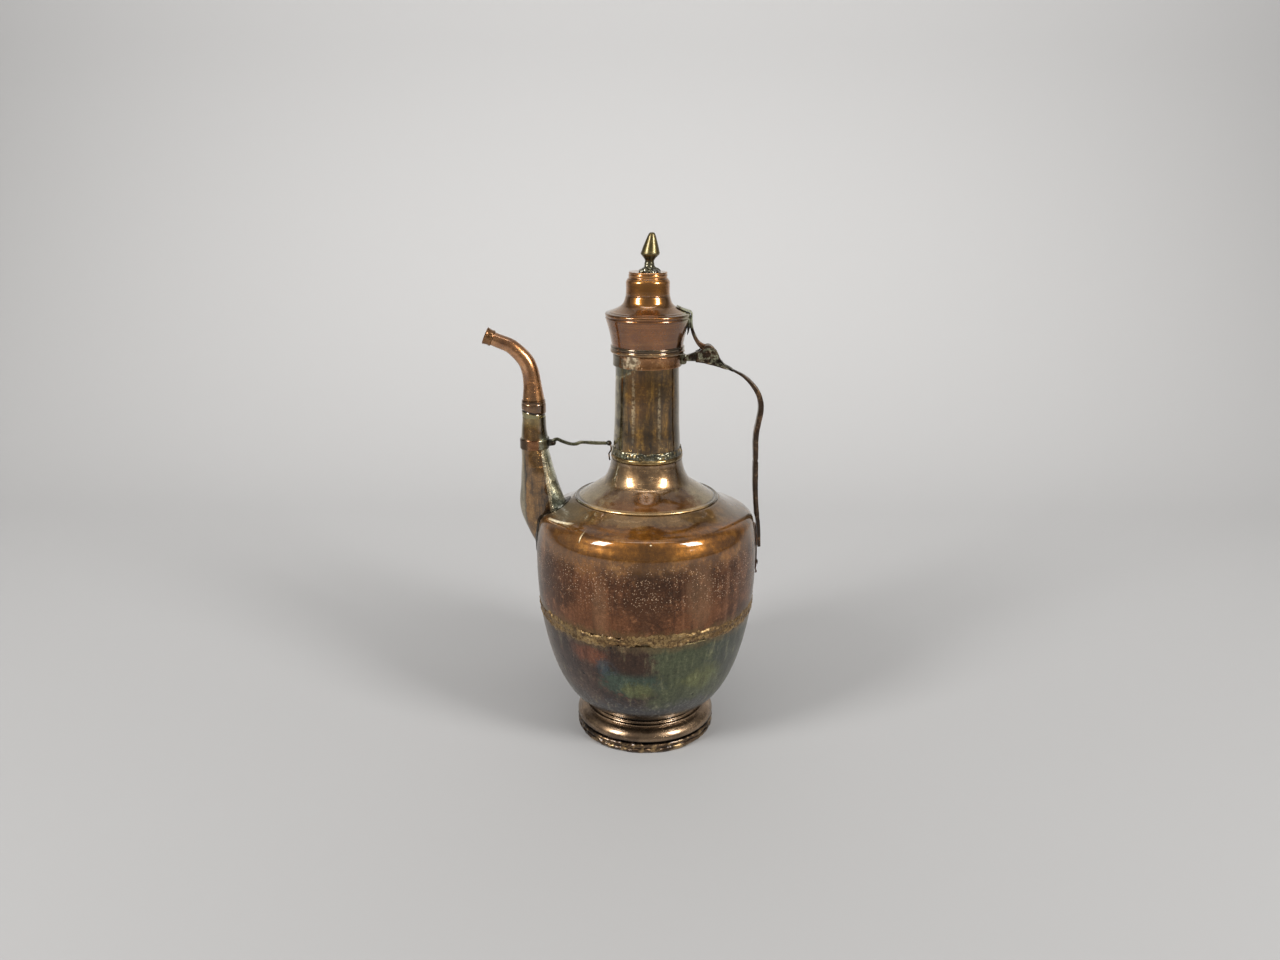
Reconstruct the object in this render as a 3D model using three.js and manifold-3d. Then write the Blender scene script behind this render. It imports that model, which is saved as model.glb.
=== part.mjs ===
// A tall copper and brass water jug with a curved spout, a bowed strap handle and a hinged lid.
// Millimetres, +Z up. The spout points to -X, the handle and the hinge are at +X, and the
// origin is on the floor, under the middle of the length from spout to handle.

import * as THREE from 'three';
import { mergeVertices } from 'three/addons/utils/BufferGeometryUtils.js';
import Module from 'manifold-3d';

const wasm = await Module();
wasm.setup();

// Sheet and fits
const SHEET = 1.2;            // thickness of the beaten sheet
const FIT = 0.3;              // gap between pieces that are bent or cut to each other

// Foot
const FOOT_H = 28;            // floor to the bottom of the bowl
const FOOT_RIM_R = 59.8;
const FOOT_RIM_H = 10;
const FOOT_RIM_W = 4.6;       // radial width of the rolled rim
const FOOT_RIM_BULGE = 1.6;
const FOOT_FLARE_R = 58.6;    // radius of the flare where it stands on the rim
const FOOT_FLARE_H = 10.4;    // height of the round flare
const FOOT_NECK_R = 48;
const FOOT_FLANGE_W = 7;      // width of the flange brazed under the bowl

// Body
const BODY_R = 91.1;
const BOWL_FLAT_R = 49;
const BOWL_RISE = 124;        // bottom of the bowl to the widest line
const BOWL_FULLNESS = 1.086;  // 1 makes the bowl a quarter ellipse
const SEAM_RISE = 86;         // bottom of the bowl to the braze
const SEAM_H = 6;
const SEAM_LAP = 7;           // how far the bowl reaches up inside the wall
const WALL_RISE = 36;         // widest line to the corner of the shoulder
const WALL_TAPER = 3;
const CORNER_W = 7.1;
const CORNER_H = 6;
const SHOULDER_RISE = 12;
const SHOULDER_SAG = 2.4;     // hollow of the sloping shoulder

// Disc and cone that carry the neck
const SHOULDER_W = 32.5;      // widest line of the body in to the edge of the disc
const DISC_SEAT_W = 2.2;      // flat seat of the disc on the shoulder
const DISC_LAP = 6.6;         // how far the shoulder's lip reaches in under the disc
const CONE_RISE = 33.7;       // seat of the disc to the top of the cone
const CONE_BREAK_R = 36.6;    // where the sloping disc turns up into the cone
const CONE_BREAK_RISE = 13.7;

// Neck
const NECK_R = 27.3;
const NECK_TOP_R = 25.3;
const NECK_H = 95.3;          // top of the cone to the mouth
const NECK_SPIGOT = 5;        // how far the neck reaches down inside the cone
const MOUTH_LIP = 0.7;
const RING_H = 3.7;
const RING_T = 1.1;
const RING_BULGE = 0.5;
const SOLDER_H = 5.6;
const SOLDER_T = 0.8;
const SOLDER_BULGE = 0.2;

// Collar at the top of the neck
const COLLAR_DROP = 10.5;     // mouth of the neck to the top of the collar
const COLLAR_H = 9.5;
const COLLAR_T = 1.7;
const EAR_REACH = 3.4;
const EAR_T = 2;
const COLLAR_RIVET_R = 0.9;
const COLLAR_RIVET_HEAD_R = 1.6;
const COLLAR_RIVET_HEAD_T = 0.7;

// Lid
const LID_SEAT_GAP = 0.5;     // collar to the rim of the lid
const LID_SHEET = 1.1;
const LID_RIM_R = 29.3;
const LID_RIM_H = 6;
const LID_RIM_W = 2.6;
const LID_RIM_BEAD = 0.9;     // how far its two rolls stand out
const LID_FOOT_R = 28.2;      // radius of the wall where it stands on the rim
const LID_R = 33.2;
const LID_WALL_H = 21.7;
const LID_WALL_BOW = 1.2;
const LID_EDGE_W = 2;
const LID_EDGE_H = 3;
const LID_DOME_H = 12.3;
const CROWN_R = 17;
const CROWN_H = 11;
const CAP_R = 14.5;
const CAP_STEP_H = 3;
const CAP_H = 4.7;

// Knob
const KNOB_X = 1;             // the knob stands a little off the middle
const KNOB_LEAN = 1.9;        // how far its tip leans out
const KNOB_H = 29.3;
const KNOB_R = 7.3;
const STEM_R = 3.7;
const TANG_R = 1.6;
const TANG_HEAD_R = 2.9;
const TANG_HEAD_T = 1.2;
const KNOB_BASE_R = 8.3;
const KNOB_BASE_H = 6.6;
const WASHER_R = 4.5;
const WASHER_T = 1;

// Hinge
const HINGE_OUT = 20.1;       // outside of the collar to the pin
const PIN_R = 1.5;
const PIN_HEAD_R = 2.4;
const PIN_HEAD_T = 0.9;
const KNUCKLE_R = 6.3;
const HEAD_L = 19.9;          // pin to the point where the head runs out into the strap
const HEAD_W = 11;            // width of the handle's head over its two cheeks
const EYE_W = 4.6;
const EYE_SLIM_L = 8;         // how far beyond the knuckle the strap stays as slim as its eye
const TONGUE_W = 4;
const STRAP_W = 9;
const STRAP_REACH = 10;       // how far it runs in over the lid from the lid's edge
const STRAP_T = 1;

// Handle
const BAR_BOW_IN = 2.2;       // how far the strap's upper bend stays inside its lower end
const BAR_T = 4.2;
const BAR_HEAD_T = 1.9;
const BAR_W = 9;
const BAR_HEAD_W = 5.5;
const BAR_BED = 1.6;          // how far the strap's back is filed to lie on the plate
const BAR_END_RISE = 11;      // widest line of the body to the strap's lower end
const TAIL_T = 1;
const TAIL_W = 11;
const TAIL_H = 43;
const TAIL_DROP = 25;         // strap's lower end to the tip of the tail
const TAIL_RIVET_R = 1.2;
const TAIL_RIVET_HEAD_R = 2.3;
const TAIL_RIVET_HEAD_T = 1.2;

// Spout
const SPOUT_OUT = 0.5;        // how far the spout's upright axis lies inside the body's radius
const SPOUT_RISE = 84.4;      // corner of the shoulder to the sleeve
const SPOUT_DROP = 124;       // sleeve down to the lowest level of the bell, inside the body
const SPOUT_NECK_R = 9.3;     // under the sleeve
const SPOUT_BELL_R = 28;      // half width of the bell at its lowest level
const SPOUT_BELL_IN = 40;     // how far the bell's axis leans in there
const SPOUT_ROOT_W = 25;      // width of the spout across the body
const SPOUT_WALL = 1.3;
const SLEEVE_H = 13.5;
const SLEEVE_R = 9.8;
const SLEEVE_T = 1.2;
const SLEEVE_BULGE = 0.4;
const SLEEVE_GAP = 0.4;       // between the ends of the two halves inside the sleeve
const SPOUT_SEAT_R = 8.9;     // where the upper half stands on the sleeve
const SPOUT_UPPER_H = 51.3;   // sleeve to the middle of the mouth
const SPOUT_REACH = 36.4;     // upright axis out to the mouth
const SPOUT_TIP_R = 5.3;
const TIP_RING_L = 6.4;
const TIP_RING_T = 0.8;
const TIP_FLARE = 0.5;
const FLANGE_W = 5;
const FLANGE_T = 1;

// Band on the spout, stay and hook
const BAND_DROP = 17.7;       // sleeve to the top of the band
const BAND_H = 7.9;
const BAND_T = 0.8;
const BAND_BORE_R = 11;
const BAND_EAR_L = 6.5;
const BAND_EAR_T = 1;
const BAND_RIVET_R = 0.8;
const BAND_RIVET_HEAD_R = 1.7;
const BAND_RIVET_HEAD_T = 0.8;
const STAY_LIFT = 1.5;        // rough ring of the neck to the middle of the stay's knob
const STAY_R = 1.35;
const STAY_EYE_R = 3;
const STAY_EYE_T = 2.2;
const STAY_KNOB_R = 2.2;
const HOOK_R = 0.6;

// Levels and places that follow from the sizes
const RIM_TOP = FOOT_RIM_H;
const BELLY_Z = FOOT_H + BOWL_RISE;
const SEAM_Z = FOOT_H + SEAM_RISE;
const CORNER_Z = BELLY_Z + WALL_RISE;
const DISC_R = BODY_R - SHOULDER_W;
const DISC_Z = CORNER_Z + CORNER_H + SHOULDER_RISE;
const CONE_TOP_Z = DISC_Z + CONE_RISE;
const CONE_TOP_R = NECK_R + FIT + SHEET;
const RING_TOP_Z = CONE_TOP_Z + RING_H;
const SOLDER_TOP_Z = RING_TOP_Z + SOLDER_H;
const SOLDER_R = NECK_R + FIT + SOLDER_T + SOLDER_BULGE;
const MOUTH_Z = CONE_TOP_Z + NECK_H;
const COLLAR_TOP_Z = MOUTH_Z - COLLAR_DROP;
const COLLAR_R = NECK_TOP_R + FIT + COLLAR_T;
const LID_Z = COLLAR_TOP_Z + LID_SEAT_GAP;
const LID_WALL_Z = LID_Z + LID_RIM_H;
const LID_EDGE_Z = LID_WALL_Z + LID_WALL_H;
const LID_DOME_Z = LID_EDGE_Z + LID_EDGE_H;
const CROWN_Z = LID_DOME_Z + LID_DOME_H;
const LID_TOP_Z = CROWN_Z + CROWN_H + CAP_STEP_H + CAP_H;
const HINGE_X = COLLAR_R + HINGE_OUT;
const HINGE_Z = COLLAR_TOP_Z;
const SPOUT_X = -(BODY_R - SPOUT_OUT);
const SLEEVE_Z = CORNER_Z + SPOUT_RISE;
const BAND_Z = SLEEVE_Z - BAND_DROP - BAND_H;

// How finely round pieces are faceted
const BODY_FACETS = 36;
const NECK_FACETS = 28;
const PIPE_FACETS = 16;
const RIVET_FACETS = 10;

// Solids and shapes

// A closed geometry as a solid that can be cut and joined.
function solid(geometry) {
  const bare = geometry.clone();
  bare.deleteAttribute('normal');
  bare.deleteAttribute('uv');
  const merged = mergeVertices(bare, 1e-4);
  const corners = merged.index.array;
  const kept = [];
  for (let i = 0; i < corners.length; i += 3) {
    const [a, b, c] = [corners[i], corners[i + 1], corners[i + 2]];
    if (a !== b && b !== c && c !== a) kept.push(a, b, c);
  }
  return new wasm.Manifold(new wasm.Mesh({
    numProp: 3,
    vertProperties: new Float32Array(merged.attributes.position.array),
    triVerts: new Uint32Array(kept),
  }));
}

// A solid back as a geometry.
function surface(shape) {
  const mesh = shape.getMesh();
  const geometry = new THREE.BufferGeometry();
  geometry.setAttribute('position', new THREE.BufferAttribute(new Float32Array(mesh.vertProperties), 3));
  geometry.setIndex(new THREE.BufferAttribute(new Uint32Array(mesh.triVerts), 1));
  geometry.computeVertexNormals();
  return geometry;
}

// A closed outline of [radius, height] points, turned about the jug's axis.
function turned(points, segments = BODY_FACETS) {
  return solid(new THREE.LatheGeometry(points, segments).rotateX(Math.PI / 2));
}

// An outline shifted sideways, to its left as it is walked, with mitred corners.
function shifted(points, distance) {
  const sideways = (from, to) => new THREE.Vector2(from.y - to.y, to.x - from.x).normalize();
  return points.map((point, i) => {
    const last = points.length - 1;
    const before = i > 0 ? sideways(points[i - 1], point) : sideways(point, points[i + 1]);
    const after = i < last ? sideways(point, points[i + 1]) : before;
    const miter = before.clone().add(after).divideScalar(1 + before.dot(after));
    return point.clone().addScaledVector(miter, distance);
  });
}

// The closed profile of a sheet whose outside follows an outline walked upwards.
// Where an end of the sheet stands upright, its edge is cut level.
function sheetProfile(outline, thickness) {
  const inside = shifted(outline, thickness);
  for (const [end, next] of [[0, 1], [-1, -2]]) {
    const run = outline.at(end).clone().sub(outline.at(next));
    if (Math.abs(run.y) > Math.abs(run.x)) inside.at(end).y = outline.at(end).y;
  }
  return [...outline, ...inside.reverse(), outline[0]];
}

// A closed profile from corner points.
function closed(...corners) {
  const points = corners.map(([r, z]) => new THREE.Vector2(r, z));
  return [...points, points[0]];
}

// The profile of a plain round bar on the axis.
function filled(radius, bottom, top) {
  return [[0, bottom], [radius, bottom], [radius, top], [0, top]].map(([r, z]) => new THREE.Vector2(r, z));
}

// A flat shape of x and z, made a plate that is centred on y.
function plate(shape, width, y = 0) {
  const geometry = new THREE.ExtrudeGeometry(shape, { depth: width, bevelEnabled: false, curveSegments: 8 });
  return solid(geometry.rotateX(Math.PI / 2).translate(0, y + width / 2, 0));
}

// A rod along Y, between two y values.
function rodY(radius, x, z, from, to, sides = RIVET_FACETS) {
  const geometry = new THREE.CylinderGeometry(radius, radius, to - from, sides);
  return solid(geometry.translate(x, (from + to) / 2, z));
}

// A rod along X, between two x values.
function rodX(radius, z, from, to, sides = RIVET_FACETS) {
  const geometry = new THREE.CylinderGeometry(radius, radius, to - from, sides);
  return solid(geometry.rotateZ(Math.PI / 2).translate((from + to) / 2, 0, z));
}

// A box between two corners.
function block(low, high) {
  const size = high.map((value, i) => value - low[i]);
  const geometry = new THREE.BoxGeometry(...size);
  return solid(geometry.translate(...low.map((value, i) => value + size[i] / 2)));
}

// A smooth curve through [x, z] points in the middle plane.
function planeCurve(points) {
  return new THREE.CatmullRomCurve3(points.map(([x, z]) => new THREE.Vector3(x, 0, z)));
}

// Bends a straight geometry, whose axis is Z from 0 to the curve's length, along a curve in the
// middle plane. Across the curve, x is scaled by thick(share) and y by wide(share).
function bent(geometry, curve, thick = () => 1, wide = () => 1) {
  const length = curve.getLength();
  const place = geometry.attributes.position;
  for (let i = 0; i < place.count; i++) {
    const share = THREE.MathUtils.clamp(place.getZ(i) / length, 0, 1);
    const along = curve.getTangentAt(share);
    const beyond = place.getZ(i) - share * length;
    const across = place.getX(i) * thick(share);
    const at = curve.getPointAt(share).addScaledVector(along, beyond);
    place.setXYZ(i, at.x + across * along.z, place.getY(i) * wide(share), at.z - across * along.x);
  }
  return geometry;
}

// Body: the bowl swells as a full quarter ellipse, and the wall, corner and shoulder follow it.
function bowlCurve(fromZ, toZ, steps) {
  const turn = (z) => Math.acos(1 - (z - FOOT_H) / BOWL_RISE);
  const points = [];
  for (let i = 0; i <= steps; i++) {
    const angle = THREE.MathUtils.lerp(turn(fromZ), turn(toZ), i / steps);
    const swell = Math.pow(Math.sin(angle), BOWL_FULLNESS);
    const r = BOWL_FLAT_R + (BODY_R - BOWL_FLAT_R) * swell;
    points.push(new THREE.Vector2(r, FOOT_H + BOWL_RISE * (1 - Math.cos(angle))));
  }
  return points;
}

function upperOutline(fromZ) {
  const cornerR = BODY_R - WALL_TAPER;
  const slopeR = cornerR - CORNER_W;
  const slopeZ = CORNER_Z + CORNER_H;
  const lipR = DISC_R + SHEET;
  const path = new THREE.Path();
  path.moveTo(BODY_R, BELLY_Z);
  path.quadraticCurveTo(BODY_R, BELLY_Z + WALL_RISE * 0.66, cornerR, CORNER_Z);
  path.quadraticCurveTo(cornerR - CORNER_W * 0.15, CORNER_Z + CORNER_H * 0.65, slopeR, slopeZ);
  const middle = (slopeR + lipR) / 2;
  path.quadraticCurveTo(middle, (slopeZ + DISC_Z) / 2 - SHOULDER_SAG, lipR, DISC_Z);
  const upper = path.getPoints(3);
  return [...bowlCurve(fromZ, BELLY_Z, 2), ...upper.slice(1), new THREE.Vector2(DISC_R - DISC_LAP, DISC_Z)];
}

// The whole outside of the body, grown by a distance, as a solid for trimming what lies on it.
function bodyGrown(distance) {
  const floor = new THREE.Vector2(0, FOOT_H);
  const outline = [floor, ...bowlCurve(FOOT_H, SEAM_Z, 6), ...upperOutline(SEAM_Z).slice(1)];
  const grown = shifted(outline, -distance);
  return turned([...grown, new THREE.Vector2(0, grown.at(-1).y)]);
}

// Foot
function footRim() {
  const inner = FOOT_RIM_R - FOOT_RIM_W;
  const outer = FOOT_RIM_R - FOOT_RIM_BULGE;
  const path = new THREE.Path().moveTo(inner, 0).lineTo(outer, 0);
  path.quadraticCurveTo(FOOT_RIM_R + FOOT_RIM_BULGE / 2, RIM_TOP / 2, FOOT_FLARE_R, RIM_TOP);
  return turned([...path.lineTo(inner, RIM_TOP).lineTo(inner, 0).getPoints(4)]);
}

function footRing() {
  const flareTop = RIM_TOP + FOOT_FLARE_H;
  const waistR = FOOT_NECK_R + (FOOT_FLARE_R - FOOT_NECK_R) * 0.4;
  const path = new THREE.Path().moveTo(FOOT_FLARE_R, RIM_TOP);
  path.quadraticCurveTo(FOOT_FLARE_R, RIM_TOP + FOOT_FLARE_H * 0.55, waistR, flareTop);
  path.quadraticCurveTo(FOOT_NECK_R, flareTop + 2, FOOT_NECK_R, FOOT_H - SHEET);
  path.lineTo(FOOT_NECK_R, FOOT_H).lineTo(FOOT_NECK_R - FOOT_FLANGE_W, FOOT_H);
  return turned(sheetProfile(path.getPoints(3), SHEET));
}

// Bowl, with its rim set in to lap inside the wall above
function lowerBowl() {
  const inset = (points, by) => points.map((point) => new THREE.Vector2(point.x - by, point.y));
  const low = bowlCurve(FOOT_H, SEAM_Z, 6);
  const lap = bowlCurve(SEAM_Z, SEAM_Z + SEAM_H + SEAM_LAP, 1);
  const outer = [...low, ...inset(lap, SHEET + FIT)];
  const inner = [...shifted(low, SHEET).slice(0, -2), ...inset(lap, 2 * SHEET + FIT)];
  const floor = new THREE.Vector2(0, FOOT_H);
  const inside = new THREE.Vector2(0, FOOT_H + SHEET);
  return turned([floor, ...outer, ...inner.reverse(), inside]);
}

function brazeSeam() {
  const outer = bowlCurve(SEAM_Z, SEAM_Z + SEAM_H, 1);
  const inner = outer.map((point) => new THREE.Vector2(point.x - SHEET, point.y));
  return turned([...outer, ...inner.reverse(), outer[0]]);
}

// Neck
function neckCone() {
  const seatR = DISC_R - DISC_SEAT_W;
  const edge = new THREE.Vector2(DISC_R, DISC_Z);
  const path = new THREE.Path().moveTo(DISC_R, DISC_Z + SHEET);
  path.lineTo(CONE_BREAK_R, DISC_Z + CONE_BREAK_RISE);
  const turnZ = DISC_Z + CONE_BREAK_RISE + (CONE_TOP_Z - DISC_Z - CONE_BREAK_RISE) * 0.2;
  path.quadraticCurveTo(CONE_TOP_R + 1.2, turnZ, CONE_TOP_R, CONE_TOP_Z - 1.7);
  path.lineTo(CONE_TOP_R, CONE_TOP_Z);
  const outline = path.getPoints(5);
  const inside = shifted(outline, SHEET).slice(1).reverse();
  return turned([edge, ...outline, ...inside, new THREE.Vector2(seatR, DISC_Z), edge]);
}

function neckOutline() {
  const path = new THREE.Path().moveTo(NECK_R, CONE_TOP_Z - NECK_SPIGOT);
  path.lineTo(NECK_R, RING_TOP_Z + SOLDER_H);
  const slimZ = COLLAR_TOP_Z - COLLAR_H;
  path.quadraticCurveTo(NECK_TOP_R + 0.6, RING_TOP_Z + (slimZ - RING_TOP_Z) * 0.4, NECK_TOP_R, slimZ);
  return path.lineTo(NECK_TOP_R, MOUTH_Z - 2 * MOUTH_LIP).getPoints(3);
}

function neckTube() {
  const outline = neckOutline();
  const lip = [[MOUTH_LIP, MOUTH_LIP], [0, 2 * MOUTH_LIP]].map(([out, up]) =>
    new THREE.Vector2(NECK_TOP_R + out, MOUTH_Z - 2 * MOUTH_LIP + up));
  return turned(sheetProfile([...outline, ...lip], SHEET), NECK_FACETS);
}

function ringOnNeck(bottom, height, thickness, bulge) {
  const inner = NECK_R + FIT;
  const outer = inner + thickness;
  const path = new THREE.Path().moveTo(inner, bottom).lineTo(outer, bottom);
  path.quadraticCurveTo(outer + 2 * bulge, bottom + height / 2, outer, bottom + height);
  return turned(path.lineTo(inner, bottom + height).lineTo(inner, bottom).getPoints(2), NECK_FACETS);
}

function collarRivetX() {
  return COLLAR_R + EAR_REACH * 0.55;
}

// Collar, a band whose two ears hold the tongue of the handle's head
function neckCollar() {
  const bore = NECK_TOP_R + FIT;
  const low = COLLAR_TOP_Z - COLLAR_H;
  const section = closed([bore, low], [COLLAR_R, low], [COLLAR_R, COLLAR_TOP_Z], [bore, COLLAR_TOP_Z]);
  const band = turned(section, NECK_FACETS);
  const earEnd = COLLAR_R + EAR_REACH;
  const middle = (COLLAR_R + bore) / 2;
  const ear = new THREE.Shape();
  ear.moveTo(middle, low + 1);
  ear.quadraticCurveTo(earEnd, low, earEnd, low + COLLAR_H * 0.3);
  ear.lineTo(earEnd, COLLAR_TOP_Z - COLLAR_H * 0.35);
  ear.quadraticCurveTo(earEnd, COLLAR_TOP_Z - 1, middle, COLLAR_TOP_Z - 1);
  const side = TONGUE_W / 2 + FIT + EAR_T / 2;
  const ears = plate(ear, EAR_T, -side).add(plate(ear, EAR_T, side));
  const inside = turned(filled(bore, low - 1, MOUTH_Z), NECK_FACETS);
  const hole = rodY(COLLAR_RIVET_R + FIT, collarRivetX(), HINGE_Z - COLLAR_H / 2, -HEAD_W, HEAD_W);
  return band.add(ears.subtract(inside)).subtract(hole);
}

// A rivet along Y with two heads, whose shank passes a stack of a given half width
function rivetY(radius, headR, headT, x, z, half) {
  const shank = rodY(radius, x, z, -half - FIT - headT, half + FIT + headT);
  const heads = [-1, 1].map((side) => {
    const inner = side * (half + FIT);
    const outer = side * (half + FIT + headT);
    return rodY(headR, x, z, Math.min(inner, outer), Math.max(inner, outer));
  });
  return shank.add(heads[0]).add(heads[1]);
}

// Lid
function lidOutline() {
  const path = new THREE.Path().moveTo(LID_FOOT_R, LID_WALL_Z);
  const bowR = (LID_FOOT_R + LID_R) / 2 - LID_WALL_BOW / 10;
  path.quadraticCurveTo(bowR, LID_WALL_Z + LID_WALL_H / 2 - LID_WALL_BOW, LID_R, LID_EDGE_Z);
  path.quadraticCurveTo(LID_R, LID_DOME_Z - 0.5, LID_R - LID_EDGE_W, LID_DOME_Z);
  path.quadraticCurveTo(CROWN_R + 2.2, LID_DOME_Z + LID_DOME_H * 0.31, CROWN_R, CROWN_Z);
  const stepZ = CROWN_Z + CROWN_H;
  path.lineTo(CROWN_R, stepZ);
  path.quadraticCurveTo(CROWN_R, stepZ + CAP_STEP_H * 0.8, CAP_R, stepZ + CAP_STEP_H);
  return path.lineTo(CAP_R, LID_TOP_Z).lineTo(TANG_R + FIT, LID_TOP_Z).getPoints(3);
}

function lidShell() {
  const hole = solid(new THREE.CylinderGeometry(TANG_R + FIT, TANG_R + FIT, 4 * LID_SHEET, 12)
    .rotateX(Math.PI / 2).translate(KNOB_X, 0, LID_TOP_Z));
  const outline = lidOutline();
  const outside = outline.slice(0, -1);
  const inside = shifted(outline, LID_SHEET).slice(0, -1).reverse();
  const middle = [new THREE.Vector2(0, LID_TOP_Z), new THREE.Vector2(0, LID_TOP_Z - LID_SHEET)];
  return turned([...outside, ...middle, ...inside, outside[0]], NECK_FACETS).subtract(hole);
}

function lidRim() {
  const inner = LID_RIM_R - LID_RIM_W;
  const edge = LID_RIM_R - LID_RIM_BEAD;
  const bulge = LID_RIM_R + LID_RIM_BEAD;
  const path = new THREE.Path().moveTo(inner, LID_Z).lineTo(edge, LID_Z);
  path.quadraticCurveTo(bulge, LID_Z + LID_RIM_H / 4, edge + LID_RIM_BEAD / 5, LID_Z + LID_RIM_H / 2);
  path.quadraticCurveTo(bulge, LID_Z + LID_RIM_H * 0.75, edge, LID_WALL_Z);
  return turned(path.lineTo(inner, LID_WALL_Z).lineTo(inner, LID_Z).getPoints(2), NECK_FACETS);
}

// Strap that is soldered on the lid and ends in the hinge eye
function lidStrap() {
  const start = LID_R - STRAP_REACH;
  const outside = shifted(lidOutline(), -(FIT + STRAP_T)).filter((point) => point.x > start);
  const upper = outside.filter((point) => point.y > LID_EDGE_Z - STRAP_T).reverse();
  const shape = new THREE.Shape().moveTo(start, LID_EDGE_Z - 2 * STRAP_T);
  shape.lineTo(start, upper[0].y + STRAP_T / 2);
  for (const point of upper) shape.lineTo(point.x, point.y);
  const outerR = LID_R + FIT + 1.5 * STRAP_T;
  const middleZ = (HINGE_Z + LID_EDGE_Z) / 2;
  shape.quadraticCurveTo(outerR, middleZ, HINGE_X - KNUCKLE_R * 0.27, HINGE_Z + KNUCKLE_R * 0.95);
  shape.lineTo(HINGE_X - KNUCKLE_R * 0.9, HINGE_Z + KNUCKLE_R * 0.38);
  shape.quadraticCurveTo(LID_R - FIT, middleZ - STRAP_T, LID_R - 2 * STRAP_T, LID_EDGE_Z - 4 * STRAP_T);
  const eye = rodY(KNUCKLE_R, HINGE_X, HINGE_Z, -EYE_W / 2, EYE_W / 2, 20);
  const aside = (from, to) => rodY(KNUCKLE_R + EYE_SLIM_L, HINGE_X, HINGE_Z, from, to, 24);
  const slimmed = aside(-STRAP_W, -EYE_W / 2).add(aside(EYE_W / 2, STRAP_W));
  const strap = plate(shape, STRAP_W).subtract(slimmed);
  const bore = rodY(PIN_R + FIT, HINGE_X, HINGE_Z, -STRAP_W, STRAP_W);
  const grown = shifted(lidOutline(), -FIT);
  const floor = new THREE.Vector2(0, LID_WALL_Z);
  const lid = turned([floor, ...grown.slice(0, -1), new THREE.Vector2(0, grown.at(-1).y)], NECK_FACETS);
  return strap.add(eye).subtract(bore).subtract(lid);
}

// Knob, leaning a little outwards, with a tang through the lid that is riveted over a washer
function knobCurve() {
  const foot = LID_TOP_Z - LID_SHEET - KNOB_R;
  const baseTop = LID_TOP_Z + KNOB_BASE_H;
  return planeCurve([[KNOB_X, foot], [KNOB_X, LID_TOP_Z], [KNOB_X, baseTop],
    [KNOB_X + KNOB_LEAN * 0.5, LID_TOP_Z + KNOB_H * 0.55], [KNOB_X + KNOB_LEAN, LID_TOP_Z + KNOB_H]]);
}

function finial() {
  const curve = knobCurve();
  const length = curve.getLength();
  const top = (share) => length - KNOB_H * (1 - share);
  const headTop = length - KNOB_H - LID_SHEET - WASHER_T - FIT;
  const seat = KNOB_BASE_H / KNOB_H + 0.012;
  const bud = [[0.55, 0.31], [0.77, 0.385], [0.98, 0.45], [1, 0.48], [0.92, 0.54], [0.67, 0.74], [0.4, 0.93],
    [0.2, 0.985]];
  const points = [
    new THREE.Vector2(0, headTop - TANG_HEAD_T),
    new THREE.Vector2(TANG_HEAD_R, headTop - TANG_HEAD_T * 0.8),
    new THREE.Vector2(TANG_HEAD_R, headTop),
    new THREE.Vector2(TANG_R, headTop),
    new THREE.Vector2(TANG_R, top(seat)),
    new THREE.Vector2(STEM_R, top(seat)),
    ...bud.map(([wide, share]) => new THREE.Vector2(KNOB_R * wide, top(share))),
    new THREE.Vector2(0, top(1)),
  ];
  return solid(bent(new THREE.LatheGeometry(points, PIPE_FACETS).rotateX(Math.PI / 2), curve));
}

function finialBase() {
  const bore = TANG_R + FIT;
  const path = new THREE.Path().moveTo(bore, 0).lineTo(KNOB_BASE_R, 0);
  path.quadraticCurveTo(STEM_R + 1, KNOB_BASE_H * 0.4, STEM_R, KNOB_BASE_H);
  const points = path.lineTo(bore, KNOB_BASE_H).lineTo(bore, 0).getPoints(4);
  const geometry = new THREE.LatheGeometry(points, PIPE_FACETS).rotateX(Math.PI / 2);
  return solid(geometry.translate(KNOB_X, 0, LID_TOP_Z));
}

function finialWasher() {
  const [bore, low, high] = [TANG_R + FIT, -LID_SHEET - WASHER_T, -LID_SHEET];
  const points = closed([bore, low], [WASHER_R, low], [WASHER_R, high], [bore, high]);
  const geometry = new THREE.LatheGeometry(points, PIPE_FACETS).rotateX(Math.PI / 2);
  return solid(geometry.translate(KNOB_X, 0, LID_TOP_Z));
}

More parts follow.
